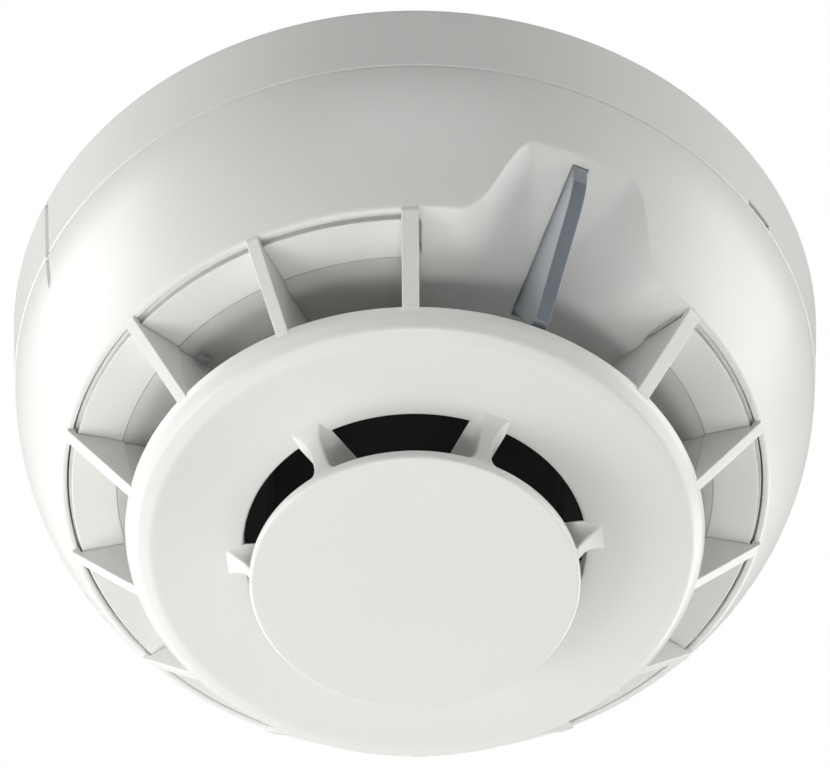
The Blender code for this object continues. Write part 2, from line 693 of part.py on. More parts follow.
def make_channel_ring():
    lower = FLOOR_Z
    ring = turned("channel_ring", [
        (RING_OUTER_RADIUS, lower + 8.6 * MM),
        (RING_OUTER_RADIUS, lower),
        (RING_INNER_RADIUS, lower),
        (RING_INNER_RADIUS, lower + FLOOR_WALL),
        (RING_OUTER_RADIUS - GUIDE_WALL, lower + FLOOR_WALL),
        (RING_OUTER_RADIUS - GUIDE_WALL, lower + 8.6 * MM),
    ], material=WHITE)
    span = 2 * SECTOR_HALF + 1.0
    cut(ring, sector("ring_gap", 30 * MM, 60 * MM, lower + 12 * MM, lower - 2 * MM, LED_AZIMUTH, span, steps=8))
    return ring


def make_air_guide():
    lower = FLOOR_Z
    top = lower + 10.0 * MM
    guide = turned("air_guide", [
        (GUIDE_RADIUS, top),
        (GUIDE_RADIUS, lower),
        (CHAMBER_RADIUS + GAP, lower),
        (CHAMBER_RADIUS + GAP, lower + FLOOR_WALL),
        (GUIDE_RADIUS - GUIDE_WALL, lower + FLOOR_WALL),
        (GUIDE_RADIUS - GUIDE_WALL, top),
    ], material=WHITE)
    span = 2 * SECTOR_HALF + 1.0
    inner = SCOOP_INNER_RADIUS - GAP
    cut(guide, sector("guide_gap", inner, 60 * MM, top + 2 * MM, lower - 2 * MM, LED_AZIMUTH, span, steps=8))
    for i in range(CASE_SCREW_COUNT):
        place = case_screw_place(i)
        join(guide, rod(f"guide_boss_{i}", BOSS_RADIUS, BOARD_BOTTOM_Z - GAP, lower + FLOOR_WALL / 2, place, HELPERS))
        cut(guide, rod(f"guide_hole_{i}", CASE_SCREW_RADIUS + HOLE_CLEARANCE, BOARD_TOP_Z,
                       BOARD_BOTTOM_Z - CASE_SCREW_DEPTH - 1.0 * MM, place, HELPERS))
    return guide


def case_screw_place(index):
    return polar(CASE_SCREW_CIRCLE, CASE_SCREW_AZIMUTH + index * 360.0 / CASE_SCREW_COUNT)


def make_rear_moulding():
    wall_outer = COLLAR_RADIUS - 1.6 * MM
    flange = HEAD_RADIUS - COVER_WALL - RUNNING_GAP
    flange_top = HEAD_TOP_Z - 0.6 * MM
    rear = turned("rear_moulding", [
        (0.0, REAR_TOP_Z),
        (COLLAR_RADIUS - REAR_WALL, REAR_TOP_Z),
        (COLLAR_RADIUS - REAR_WALL, COLLAR_TOP_Z),
        (COLLAR_RADIUS, COLLAR_TOP_Z),
        (COLLAR_RADIUS, flange_top),
        (flange, flange_top),
        (flange, flange_top - REAR_WALL),
        (wall_outer, flange_top - REAR_WALL),
        (wall_outer, BOARD_TOP_Z),
        (wall_outer - REAR_WALL, BOARD_TOP_Z),
        (wall_outer - REAR_WALL, REAR_BOTTOM_Z),
        (0.0, REAR_BOTTOM_Z),
    ], material=WHITE)
    for i in range(BAYONET_COUNT):
        azimuth = LED_AZIMUTH + i * 360.0 / BAYONET_COUNT
        join(rear, sector(f"lug_{i}", COLLAR_RADIUS - REAR_WALL / 2, COLLAR_RADIUS + LUG_REACH, LUG_TOP_Z,
                          LUG_BOTTOM_Z, azimuth, LUG_ANGLE))
    for i in range(TERMINAL_COUNT):
        azimuth = blade_azimuth(i) + LEG_ANGLE
        place = polar(LEG_RADIUS, azimuth, (REAR_TOP_Z + REAR_BOTTOM_Z) / 2)
        size = (LEG_WIDTH + 2 * GAP, LEG_THICKNESS + 2 * GAP, 3 * REAR_WALL)
        cut(rear, box(f"leg_slot_{i}", size, place, azimuth, HELPERS))
    for i in range(CASE_SCREW_COUNT):
        place = case_screw_place(i)
        join(rear, rod(f"spacer_{i}", BOSS_RADIUS, (REAR_TOP_Z + REAR_BOTTOM_Z) / 2, BOARD_TOP_Z + GAP, place, HELPERS))
        cut(rear, rod(f"rear_hole_{i}", CASE_SCREW_RADIUS + HOLE_CLEARANCE, 0.0, BOARD_BOTTOM_Z, place, HELPERS))
    return rear


def make_case_screw(index):
    head_bottom = REAR_TOP_Z + GAP
    head_top = head_bottom + 1.2 * MM
    end = BOARD_BOTTOM_Z - CASE_SCREW_DEPTH
    radius = CASE_SCREW_RADIUS
    screw = turned(f"case_screw_{index + 1}", [
        (0.0, head_top), (2.0 * radius - 0.4 * MM, head_top), (2.0 * radius, head_top - 0.4 * MM),
        (2.0 * radius, head_bottom), (radius, head_bottom), (radius, end + radius), (0.0, end),
    ], material=STEEL, steps=SMALL_STEPS)
    place = case_screw_place(index)
    screw.location = (place[0], place[1], 0.0)
    for turn in (0.0, 90.0):
        size = (2.6 * radius, 0.7 * MM, 1.4 * MM)
        cut(screw, box(f"cross_{index}_{turn:.0f}", size, (place[0], place[1], head_top), turn, HELPERS))


# ---------------------------------------------------------------- electronics

def blade_azimuth(index):
    """Where the contact spring's tip touches the head's blade at rest."""
    tip = spring_contact(index)
    return math.degrees(math.atan2(tip[1], tip[0]))


def ramp_height(turned_angle):
    """Top of the contact blade: it falls evenly as the head turns under the spring's tip."""
    top = CONTACT_TIP_Z - SPRING_THICKNESS / 2 - GAP
    share = min(1.0, max(0.0, turned_angle / TWIST_ANGLE))
    return top - CONTACT_TRAVEL * share


def make_contact_blade(index):
    """A curved wedge on the rear moulding, with a leg through it down to the board."""
    azimuth = blade_azimuth(index)
    width = SPRING_WIDTH + 1.5 * MM
    bottom = REAR_TOP_Z + GAP
    radius = spring_contact(index).length
    steps = 8
    first, last = -RAMP_LEAD, LEG_ANGLE + 1.4
    points = []
    for i in range(steps + 1):
        offset = first + (last - first) * i / steps
        for r in (radius - width / 2, radius + width / 2):
            points.append(polar(r, azimuth + offset, bottom))
            points.append(polar(r, azimuth + offset, ramp_height(offset)))
    faces = [(0, 1, 3, 2)]
    for i in range(steps):
        a, b = 4 * i, 4 * (i + 1)
        faces += [(a, b, b + 1, a + 1), (a + 2, a + 3, b + 3, b + 2), (a, a + 2, b + 2, b), (a + 1, b + 1, b + 3, a + 3)]
    end = 4 * steps
    faces.append((end, end + 2, end + 3, end + 1))
    name = f"contact_blade_{index + 1}"
    blade = add_object(name, mesh_from(name, points, faces), PARTS, TINNED)
    leg_azimuth = azimuth + LEG_ANGLE
    leg_bottom = BOARD_TOP_Z + GAP
    leg_top = bottom + OVERLAP
    place = polar(LEG_RADIUS, leg_azimuth, (leg_bottom + leg_top) / 2)
    leg = box(f"leg_{index}", (LEG_WIDTH, LEG_THICKNESS, leg_top - leg_bottom), place, leg_azimuth, HELPERS)
    join(blade, leg)
    return blade


def make_board():
    board = turned("circuit_board", [
        (BOARD_RADIUS, BOARD_TOP_Z), (BOARD_RADIUS, BOARD_BOTTOM_Z),
        (3.0 * MM, BOARD_BOTTOM_Z), (3.0 * MM, BOARD_TOP_Z),
    ], material=GREEN, steps=48)
    for i in range(CASE_SCREW_COUNT):
        cut(board, rod(f"board_hole_{i}", CASE_SCREW_RADIUS + HOLE_CLEARANCE, 0.0, -0.03, case_screw_place(i), HELPERS))
    return board


def make_board_parts():
    below = BOARD_BOTTOM_Z - GAP
    spot = polar(INDICATOR_RADIUS, LED_AZIMUTH)
    led = turned("indicator_led", [
        (0.0, below), (1.6 * MM, below), (1.6 * MM, below - 1.6 * MM), (1.3 * MM, below - 2.4 * MM),
        (0.7 * MM, below - 2.8 * MM), (0.0, below - 2.9 * MM),
    ], material=RED, steps=SMALL_STEPS)
    led.location = (spot[0], spot[1], 0.0)
    box("controller_chip", (9.0 * MM, 9.0 * MM, 1.6 * MM), polar(16.0 * MM, 150.0, below - 0.8 * MM), 10.0, material=BLACK)
    box("comparator_chip", (5.0 * MM, 6.2 * MM, 1.5 * MM), polar(18.0 * MM, 235.0, below - 0.75 * MM), 60.0,
        material=BLACK)
    spot = polar(20.0 * MM, 20.0)
    capacitor = turned("smoothing_capacitor", [
        (0.0, below), (3.1 * MM, below), (3.1 * MM, below - 5.2 * MM), (2.7 * MM, below - 5.6 * MM),
        (0.0, below - 5.6 * MM),
    ], material=CAPACITOR, steps=SMALL_STEPS)
    capacitor.location = (spot[0], spot[1], 0.0)
    box("test_header", (2.6 * MM, 7.8 * MM, 4.5 * MM), polar(22.0 * MM, 95.0, below - 2.25 * MM), 95.0, material=BLACK)


# ---------------------------------------------------------------- sensing chamber

def make_chamber():
    """A black cup that lines the middle of the front and holds the sensor's stalk."""
    face = FLOOR_Z - 0.9 * MM
    back = FLOOR_Z + CHAMBER_DEPTH
    stalk = 3.4 * MM
    bore = 1.9 * MM
    return turned("sensing_chamber", [
        (bore, back + 5.0 * MM),
        (stalk, back + 5.0 * MM),
        (stalk, back),
        (CHAMBER_RADIUS, back),
        (CHAMBER_RADIUS, FLOOR_Z - GAP),
        (GUARD_RADIUS - 2.0 * MM, FLOOR_Z - GAP),
        (GUARD_RADIUS - 2.0 * MM, face - 0.6 * MM),
        (CHAMBER_RADIUS - 1.6 * MM, face - 0.6 * MM),
        (CHAMBER_RADIUS - 2.6 * MM, back - 1.6 * MM),
        (stalk + 0.4 * MM, back - 1.6 * MM),
        (stalk - 0.4 * MM, FLOOR_Z - 4.0 * MM),
        (bore, FLOOR_Z - 4.0 * MM),
    ], material=BLACK, steps=48)


def make_insect_guard():
    """A ring of fine bars between the floor and the cowl, closed by a rim at each end."""
    top = FLOOR_Z - GAP
    bottom = COWL_FACE_Z + COWL_WALL + 0.4 * MM + GAP
    guard = turned("insect_guard", [
        (GUARD_RADIUS, top), (GUARD_RADIUS, bottom), (GUARD_RADIUS - GUARD_WALL, bottom),
        (GUARD_RADIUS - GUARD_WALL, top),
    ], material=BLACK, steps=48)
    count = 24
    height = top - bottom - 2.0 * MM
    for i in range(count):
        azimuth = LED_AZIMUTH + (i + 0.5) * 360.0 / count
        place = polar(GUARD_RADIUS - GUARD_WALL / 2, azimuth, (top + bottom) / 2)
        cut(guard, box(f"guard_slot_{i}", (3.0 * MM, 4.6 * MM, height), place, azimuth, HELPERS))
    return guard


def make_thermistor():
    """A bead on two straight leads that rise through the chamber's stalk to the board."""
    bead = turned("thermistor", [
        (0.0, BEAD_Z + 1.6 * MM), (BEAD_RADIUS * 0.7, BEAD_Z + 1.2 * MM), (BEAD_RADIUS, BEAD_Z),
        (BEAD_RADIUS * 0.7, BEAD_Z - 1.2 * MM), (0.0, BEAD_Z - 1.6 * MM),
    ], material=GLASS_BEAD, steps=SMALL_STEPS)
    for side in (1, -1):
        place = (side * LEAD_SPACING / 2, 0.0)
        join(bead, rod(f"lead_{side}", LEAD_RADIUS, BOARD_TOP_Z, BEAD_Z, place, HELPERS, steps=8))
    return bead


# ---------------------------------------------------------------- assembly

def main():
    make_base()
    for i in range(TERMINAL_COUNT):
        make_terminal(i)
        make_contact_spring(i)
        make_contact_blade(i)
    make_latch()
    make_cover()
    make_light_pipe()
    make_channel_ring()
    make_air_guide()
    make_rear_moulding()
    for i in range(CASE_SCREW_COUNT):
        make_case_screw(i)
    make_board()
    make_board_parts()
    make_chamber()
    make_insect_guard()
    make_thermistor()


main()
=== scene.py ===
"""Looks of the ceiling heat detector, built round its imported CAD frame.

Metres, +Z up into the ceiling. Profiles are (radius, z) in millimetres.
Azimuths are degrees from +X about +Z.
"""

import math

import bmesh
import bpy
from mathutils import Matrix, Vector


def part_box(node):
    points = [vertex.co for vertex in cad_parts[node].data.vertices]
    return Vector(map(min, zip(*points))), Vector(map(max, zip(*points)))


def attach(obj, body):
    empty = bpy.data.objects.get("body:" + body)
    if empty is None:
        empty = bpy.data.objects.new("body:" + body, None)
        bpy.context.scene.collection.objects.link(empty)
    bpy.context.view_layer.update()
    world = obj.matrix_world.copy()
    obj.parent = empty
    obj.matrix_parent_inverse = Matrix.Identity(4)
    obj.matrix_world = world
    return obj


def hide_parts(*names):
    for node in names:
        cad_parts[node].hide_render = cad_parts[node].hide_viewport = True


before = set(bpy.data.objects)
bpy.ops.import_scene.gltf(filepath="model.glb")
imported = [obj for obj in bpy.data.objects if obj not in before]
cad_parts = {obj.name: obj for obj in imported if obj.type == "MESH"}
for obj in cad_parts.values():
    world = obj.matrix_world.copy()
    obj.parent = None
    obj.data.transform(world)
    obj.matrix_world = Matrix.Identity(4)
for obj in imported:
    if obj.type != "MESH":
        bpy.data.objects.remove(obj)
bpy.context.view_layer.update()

MM = 0.001


def box_mm(node):
    """A CAD node's lowest and highest corners, in millimetres."""
    low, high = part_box(node)
    return low / MM, high / MM


def azimuth_of(point):
    return math.degrees(math.atan2(point.y, point.x)) % 360.0


# ---------------------------------------------------------------- sizes, from the frame where it holds them

BASE_LOW, BASE_HIGH = box_mm("base_shell")
COVER_LOW, COVER_HIGH = box_mm("outer_cover")
RING_LOW, RING_HIGH = box_mm("channel_ring")
_, GUIDE_HIGH = box_mm("air_guide")
CHAMBER_LOW, CHAMBER_HIGH = box_mm("sensing_chamber")
GUARD_LOW, GUARD_HIGH = box_mm("insect_guard")
BEAD_LOW, BEAD_HIGH = box_mm("thermistor")
LED_LOW, LED_HIGH = box_mm("indicator_led")
LATCH_LOW, LATCH_HIGH = box_mm("lock_latch")

BASE_RADIUS = BASE_HIGH.x
SEAM_Z = BASE_LOW.z
SKIRT_TAPER = 0.7
SKIRT_WALL = 2.2
BASE_PLATE = 2.2
CABLE_HOLE_RADIUS = 13.0
LEDGE_COUNT = 3
LEDGE_ANGLE = 16.0
LEDGE_DEPTH = 3.2
LEDGE_HEIGHT = 2.0
LEDGE_TOP_Z = -8.0
TERMINAL_COUNT = 4
TERMINAL_AZIMUTH = 20.0
TERMINAL_PAD = (8.5, 15.0)

HEAD_RADIUS = COVER_HIGH.x
HEAD_TOP_Z = SEAM_Z - 0.04
LIP_RADIUS = 46.7
LIP_Z = -32.8
LIP_WALL = 0.75
DOME_BULGE = 1.7
COVER_WALL = 1.9

FLOOR_Z = RING_LOW.z
RING_OUTER = RING_HIGH.x
RING_INNER = GUIDE_HIGH.x + 0.05
GUIDE_OUTER = GUIDE_HIGH.x
FLOOR_WALL = 1.4
WALL = 1.6

COWL_RADIUS = 38.0
COWL_RIM_Z = -42.0
COWL_FACE_Z = -45.2
CHAMBER_HIGH_RADIUS = 21.6
THROAT_RADIUS = 22.4
CAP_RADIUS = 21.5
CAP_FACE_Z = COVER_LOW.z
CAP_BACK_Z = CAP_FACE_Z + 1.6

LED_AT = (LED_LOW + LED_HIGH) / 2
LED_AZIMUTH = azimuth_of(LED_AT)
FIN_PITCHES = 14
FIN_PITCH = 360.0 / FIN_PITCHES
FIN_WIDTH = 2.2
FIN_THINNER = 0.45
FIN_FOOT_THINNER = 0.7
STRUT_COUNT = 6

SCOOP_TOP_Z = -22.5
SCOOP_SLOPE = 0.5
SCOOP_FLAT_ANGLE = 7.5
SCOOP_EDGE_ANGLE = 21.0
SCOOP_INNER_RADIUS = 27.6
SCOOP_TOP_SETBACK = 1.8
SCOOP_EDGE_ROUND = 1.0
BLADE_WIDTH = 2.0

MARK_AZIMUTH = 205.3
TOOL_SLOT_AZIMUTH = azimuth_of((LATCH_LOW + LATCH_HIGH) / 2)
TOOL_SLOT = (6.0, 5.2, 1.15)
BASE_MARK_WIDTH = 1.15
COVER_MARK_WIDTH = 0.95
FIXING_SPACING = 60.0
FIXING_SLOT = (4.4, 9.0)

ROUND_STEPS = 240


# ---------------------------------------------------------------- node tree helpers

def add_node(tree, kind, values=None, **settings):
    """A node with its settings, and its inputs given as constants or as other nodes' outputs."""
    made = tree.nodes.new(kind)
    for name, value in settings.items():
        setattr(made, name, value)
    for key, value in (values or {}).items():
        socket = made.inputs[key]
        if isinstance(value, bpy.types.NodeSocket):
            tree.links.new(value, socket)
        else:
            socket.default_value = value
    return made


def add_math(tree, operation, first, second=0.0):
    return add_node(tree, "ShaderNodeMath", {0: first, 1: second}, operation=operation).outputs[0]


def geometry_tree(name, inputs):
    tree = bpy.data.node_groups.new(name, "GeometryNodeTree")
    tree.is_modifier = True
    tree.interface.new_socket("Geometry", in_out="INPUT", socket_type="NodeSocketGeometry")
    for label, kind in inputs:
        tree.interface.new_socket(label, in_out="INPUT", socket_type=kind)
    tree.interface.new_socket("Geometry", in_out="OUTPUT", socket_type="NodeSocketGeometry")
    source = tree.nodes.new("NodeGroupInput")
    return tree, source.outputs


def end_tree(tree, geometry, material):
    """Every tree ends the same way: instances made real, then the finish set."""
    real = add_node(tree, "GeometryNodeRealizeInstances", {"Geometry": geometry})
    finished = add_node(tree, "GeometryNodeSetMaterial", {"Geometry": real.outputs[0], "Material": material})
    result = tree.nodes.new("NodeGroupOutput")
    tree.links.new(finished.outputs[0], result.inputs[0])
    return tree


def turning_tree():
    """Turns an outline, whose points are the input's vertices in order, about Z."""
    tree, given = geometry_tree("turned_moulding", [
        ("Points", "NodeSocketInt"),
        ("Segments", "NodeSocketInt"),
        ("Start", "NodeSocketFloat"),
        ("Sweep", "NodeSocketFloat"),
        ("Material", "NodeSocketMaterial"),
    ])
    spans = add_math(tree, "SUBTRACT", given["Points"], 1.0)
    rows = add_math(tree, "ADD", given["Segments"], 1.0)
    grid = add_node(tree, "GeometryNodeMeshGrid", {
        "Size X": spans, "Size Y": given["Segments"], "Vertices X": given["Points"], "Vertices Y": rows})
    position = add_node(tree, "GeometryNodeInputPosition").outputs[0]
    place = add_node(tree, "ShaderNodeSeparateXYZ", {0: position})
    half_span = add_math(tree, "DIVIDE", spans, 2.0)
    point = add_math(tree, "ROUND", add_math(tree, "ADD", place.outputs["X"], half_span))
    step = add_math(tree, "ADD", place.outputs["Y"], add_math(tree, "DIVIDE", given["Segments"], 2.0))
    share = add_math(tree, "DIVIDE", step, given["Segments"])
    angle = add_math(tree, "ADD", add_math(tree, "MULTIPLY", share, given["Sweep"]), given["Start"])
    outline = add_node(tree, "GeometryNodeSampleIndex", {
        "Geometry": given["Geometry"], "Index": point}, data_type="FLOAT_VECTOR", domain="POINT")
    tree.links.new(position, outline.inputs["Value"])
    turned = add_node(tree, "ShaderNodeVectorRotate", {
        "Vector": outline.outputs[0], "Angle": angle}, rotation_type="Z_AXIS")
    placed = add_node(tree, "GeometryNodeSetPosition", {
        "Geometry": grid.outputs[0], "Position": turned.outputs[0]})
    merged = add_node(tree, "GeometryNodeMergeByDistance", {"Geometry": placed.outputs[0], "Distance": 1e-6})
    return end_tree(tree, merged.outputs[0], given["Material"])


def ring_tree():
    """Repeats the input round Z, a number of times, from a start angle and by an angle step."""
    tree, given = geometry_tree("repeat_round_axis", [
        ("Count", "NodeSocketInt"),
        ("Start", "NodeSocketFloat"),
        ("Step", "NodeSocketFloat"),
        ("Material", "NodeSocketMaterial"),
    ])
    line = add_node(tree, "GeometryNodeMeshLine", {"Count": given["Count"], "Offset": (0.0, 0.0, 0.0)})
    index = add_node(tree, "GeometryNodeInputIndex").outputs[0]
    angle = add_math(tree, "ADD", add_math(tree, "MULTIPLY", index, given["Step"]), given["Start"])
    turn = add_node(tree, "ShaderNodeCombineXYZ", {"Z": angle})
    copies = add_node(tree, "GeometryNodeInstanceOnPoints", {
        "Points": line.outputs[0], "Instance": given["Geometry"], "Rotation": turn.outputs[0]})
    return end_tree(tree, copies.outputs[0], given["Material"])


TURNING = turning_tree()
ROUND_AXIS = ring_tree()


def through_tree(thing, tree, values):
    """Runs the object's mesh through a tree and keeps the result as its plain mesh."""
    modifier = thing.modifiers.new(tree.name, "NODES")
    modifier.node_group = tree
    for item in tree.interface.items_tree:
        if item.in_out == "INPUT" and item.name in values:
            modifier[item.identifier] = values[item.name]
    return with_modifiers_applied(thing)


def with_modifiers_applied(thing):
    graph = bpy.context.evaluated_depsgraph_get()
    mesh = bpy.data.meshes.new_from_object(thing.evaluated_get(graph))
    thing.modifiers.clear()
    thing.data = mesh
    mesh.name = thing.name
    return thing


# ---------------------------------------------------------------- mesh helpers

def new_piece(name, points, faces=(), edges=(), material=None):
    mesh = bpy.data.meshes.new(name)
    mesh.from_pydata([tuple(Vector(point) * MM) for point in points], list(edges), list(faces))
    mesh.update()
    thing = bpy.data.objects.new(name, mesh)
    bpy.context.scene.collection.objects.link(thing)
    if material:
        mesh.materials.append(material)
    return thing


def tidy_normals(thing, sharp_angle=35.0, fill=False):
    """Closes open ends, turns every face outwards and smooths all but the sharp edges."""
    shell = bmesh.new()
    shell.from_mesh(thing.data)
    bmesh.ops.remove_doubles(shell, verts=shell.verts, dist=1e-7)
    if fill:
        bmesh.ops.holes_fill(shell, edges=[edge for edge in shell.edges if edge.is_boundary], sides=0)
    bmesh.ops.recalc_face_normals(shell, faces=shell.faces)
    shell.to_mesh(thing.data)
    shell.free()
    thing.data.shade_smooth()
    thing.data.set_sharp_from_angle(angle=math.radians(sharp_angle))
    return thing


def joined(name, pieces):
    """One object from several, each already in place."""
    first = pieces[0]
    with bpy.context.temp_override(active_object=first, object=first, selected_editable_objects=pieces):
        bpy.ops.object.join()
    first.name = name
    first.data.name = name
    return first


def cut_with(thing, cutters):
    """Cuts each cutter out of the object, then removes the cutters."""
    for cutter in cutters:
        tool = thing.modifiers.new(cutter.name, "BOOLEAN")
        tool.operation = "DIFFERENCE"
        tool.solver = "EXACT"
        tool.object = cutter
    with_modifiers_applied(thing)
    for cutter in cutters:
        bpy.data.objects.remove(cutter, do_unlink=True)
    return thing


def bevelled(thing, width, segments=2, angle=30.0, harden=True):
    """The piece with every edge that turns more than an angle rounded over."""
    bevel = thing.modifiers.new("edges", "BEVEL")
    bevel.width = width * MM
    bevel.segments = segments
    bevel.limit_method = "ANGLE"
    bevel.angle_limit = math.radians(angle)
    bevel.harden_normals = harden
    return with_modifiers_applied(thing)


def polar(radius, azimuth, z=0.0):
    angle = math.radians(azimuth)
    return Vector((radius * math.cos(angle), radius * math.sin(angle), z))


def rounded(corners, closed=True, arc=6, support=0.25):
    """An outline of (radius, z, corner radius) with arcs for corners and a point beside each arc."""
    count = len(corners)
    found = []
    for i, (x, y, size) in enumerate(corners):
        here = Vector((x, y))
        ends = not closed and i in (0, count - 1)
        if size <= 0.0 or ends:
            found.append(here)
            continue
        before = Vector(corners[i - 1][:2]) - here
        after = Vector(corners[(i + 1) % count][:2]) - here
        turn = math.pi - before.angle(after)
        if turn < 0.02:
            found.append(here)
            continue
        reach = min(size * math.tan(turn / 2), 0.48 * before.length, 0.48 * after.length)
        start = here + before.normalized() * reach
        end = here + after.normalized() * reach
        if before.length > 6 * support + reach:
            found.append(start + before.normalized() * support)
        for k in range(arc + 1):
            t = k / arc
            found.append(start * (1 - t) ** 2 + here * 2 * t * (1 - t) + end * t * t)
        if after.length > 6 * support + reach:
            found.append(end + after.normalized() * support)
    return found


def turned(name, corners, material, closed=True, steps=ROUND_STEPS, start=0.0, sweep=360.0, sharp=35.0):
    """A moulding turned about Z from an outline of (radius, z, corner radius)."""
    outline = rounded(corners, closed)
    if closed:
        outline = outline + [outline[0]]
    thing = new_piece(name, [(radius, 0.0, z) for radius, z in outline])
    through_tree(thing, TURNING, {
        "Points": len(outline), "Segments": max(3, round(steps * sweep / 360.0)),
        "Start": math.radians(start), "Sweep": math.radians(sweep), "Material": material})
    return tidy_normals(thing, sharp, fill=sweep < 360.0)


def round_axis(thing, count, start, step, material):
    """Copies of a piece made at azimuth 0, round the axis."""
    return through_tree(thing, ROUND_AXIS, {
        "Count": count, "Start": math.radians(start), "Step": math.radians(step), "Material": material})


def upright_plate(name, corners, width, edge=0.3, segments=3, material=None):
    """A plate in the XZ plane, from an outline of (x, z, corner radius), with rounded edges."""
    outline = rounded(corners)
    count = len(outline)
    half = width / 2
    points = [(x, -half, z) for x, z in outline] + [(x, half, z) for x, z in outline]
    faces = [tuple(range(count)), tuple(reversed(range(count, 2 * count)))]
    faces += [(i, count + i, count + (i + 1) % count, (i + 1) % count) for i in range(count)]
    thing = new_piece(name, points, faces, material=material)
    tidy_normals(thing, 60.0)
    return bevelled(thing, edge, segments, 50.0)


def turned_to(thing, azimuth):
    """The piece's mesh turned to an azimuth, with its object left at the origin."""
    thing.data.transform(Matrix.Rotation(math.radians(azimuth), 4, "Z"))
    return thing


def block(name, size, place, azimuth=0.0, edge=0.0, material=None):
    """A box of (radial, tangential, height) size at a place, turned to an azimuth."""
    half = Vector(size) / 2
    signs = [(-1, -1), (1, -1), (1, 1), (-1, 1)]
    points = [(x * half.x, y * half.y, -half.z) for x, y in signs]
    points += [(x * half.x, y * half.y, half.z) for x, y in signs]
    faces = [(3, 2, 1, 0), (4, 5, 6, 7)] + [(i, (i + 1) % 4, 4 + (i + 1) % 4, 4 + i) for i in range(4)]
    thing = new_piece(name, points, faces, material=material)
    if edge:
        tidy_normals(thing, 60.0)
        bevelled(thing, edge)
    turn = Matrix.Rotation(math.radians(azimuth), 4, "Z")
    thing.data.transform(Matrix.Translation(Vector(place) * MM) @ turn)
    return thing


def prism(name, outline, bottom, top):
    """An outline of (x, y) stood upright between two heights."""
    count = len(outline)
    points = [(x, y, bottom) for x, y in outline] + [(x, y, top) for x, y in outline]
    faces = [tuple(reversed(range(count))), tuple(range(count, 2 * count))]
    faces += [(i, (i + 1) % count, count + (i + 1) % count, count + i) for i in range(count)]
    return new_piece(name, points, faces)


def sector_block(name, inner, outer, top, bottom, azimuth, angle, steps=8, edge=0.25):
    """A block with curved sides, between two radii and over an angle."""
    angles = [azimuth - angle / 2 + angle * i / steps for i in range(steps + 1)]
    outline = [polar(outer, a) for a in angles] + [polar(inner, a) for a in reversed(angles)]
    thing = prism(name, [(point.x, point.y) for point in outline], bottom, top)
    return bevelled(thing, edge, 2, 40.0, False)


def loft(name, sections, material, around=True):
    """Closed sections joined one to the next, and the last to the first if they go around."""
    count = len(sections[0])
    points = [point for section in sections for point in section]
    faces = []
    for i in range(len(sections) - (0 if around else 1)):
        j = (i + 1) % len(sections)
        for k in range(count):
            m = (k + 1) % count
            faces.append((i * count + k, i * count + m, j * count + m, j * count + k))
    if not around:
        faces.append(tuple(reversed(range(count))))
        faces.append(tuple(range((len(sections) - 1) * count, len(sections) * count)))
    return new_piece(name, points, faces, material=material)


def smoothstep(value):
    t = min(1.0, max(0.0, value))
    return t * t * (3.0 - 2.0 * t)


# ---------------------------------------------------------------- finishes

def shader_group(name, inputs, outputs):
    group = bpy.data.node_groups.new(name, "ShaderNodeTree")
    for label, kind, value in inputs:
        group.interface.new_socket(label, in_out="INPUT", socket_type=kind).default_value = value
    for label, kind in outputs:
        group.interface.new_socket(label, in_out="OUTPUT", socket_type=kind)
    return group, group.nodes.new("NodeGroupInput").outputs, group.nodes.new("NodeGroupOutput").inputs


def moulded_skin_group():
    """Moulded plastic: a spark-eroded grain, faint clouding of the colour and uneven polish."""
    group, given, out = shader_group("moulded_skin", [
        ("Color", "NodeSocketColor", (0.8, 0.8, 0.8, 1.0)),
        ("Clouding", "NodeSocketFloat", 0.03),
        ("Roughness", "NodeSocketFloat", 0.4),
        ("Polish Variation", "NodeSocketFloat", 0.08),
        ("Grain Size", "NodeSocketFloat", 0.25),
        ("Grain Depth", "NodeSocketFloat", 0.5),
    ], [("Color", "NodeSocketColor"), ("Roughness", "NodeSocketFloat"), ("Height", "NodeSocketFloat")])
    place = add_node(group, "ShaderNodeTexCoord").outputs["Object"]
    cloud = add_node(group, "ShaderNodeTexNoise", {"Vector": place, "Scale": 45.0, "Detail": 3.0})
    shade = add_node(group, "ShaderNodeMapRange", {
        "Value": cloud.outputs[0], "From Min": 0.3, "From Max": 0.7, "To Min": -1.0, "To Max": 1.0})
    level = add_math(group, "ADD", add_math(group, "MULTIPLY", shade.outputs[0], given["Clouding"]), 1.0)
    tinted = add_node(group, "ShaderNodeVectorMath", {0: given["Color"], "Scale": level}, operation="SCALE")
    group.links.new(tinted.outputs[0], out["Color"])
    polish = add_node(group, "ShaderNodeTexNoise", {"Vector": place, "Scale": 130.0, "Detail": 4.0})
    swing = add_math(group, "SUBTRACT", polish.outputs[0], 0.5)
    uneven = add_math(group, "MULTIPLY", swing, given["Polish Variation"])
    rough = add_math(group, "ADD", uneven, given["Roughness"])
    group.links.new(rough, out["Roughness"])
    pitch = add_math(group, "DIVIDE", 1.0 / MM, given["Grain Size"])
    grain = add_node(group, "ShaderNodeTexNoise", {
        "Vector": place, "Scale": pitch, "Detail": 2.0, "Roughness": 0.6})
    deep = add_math(group, "MULTIPLY", grain.outputs[0], given["Grain Depth"])
    group.links.new(deep, out["Height"])
    return group


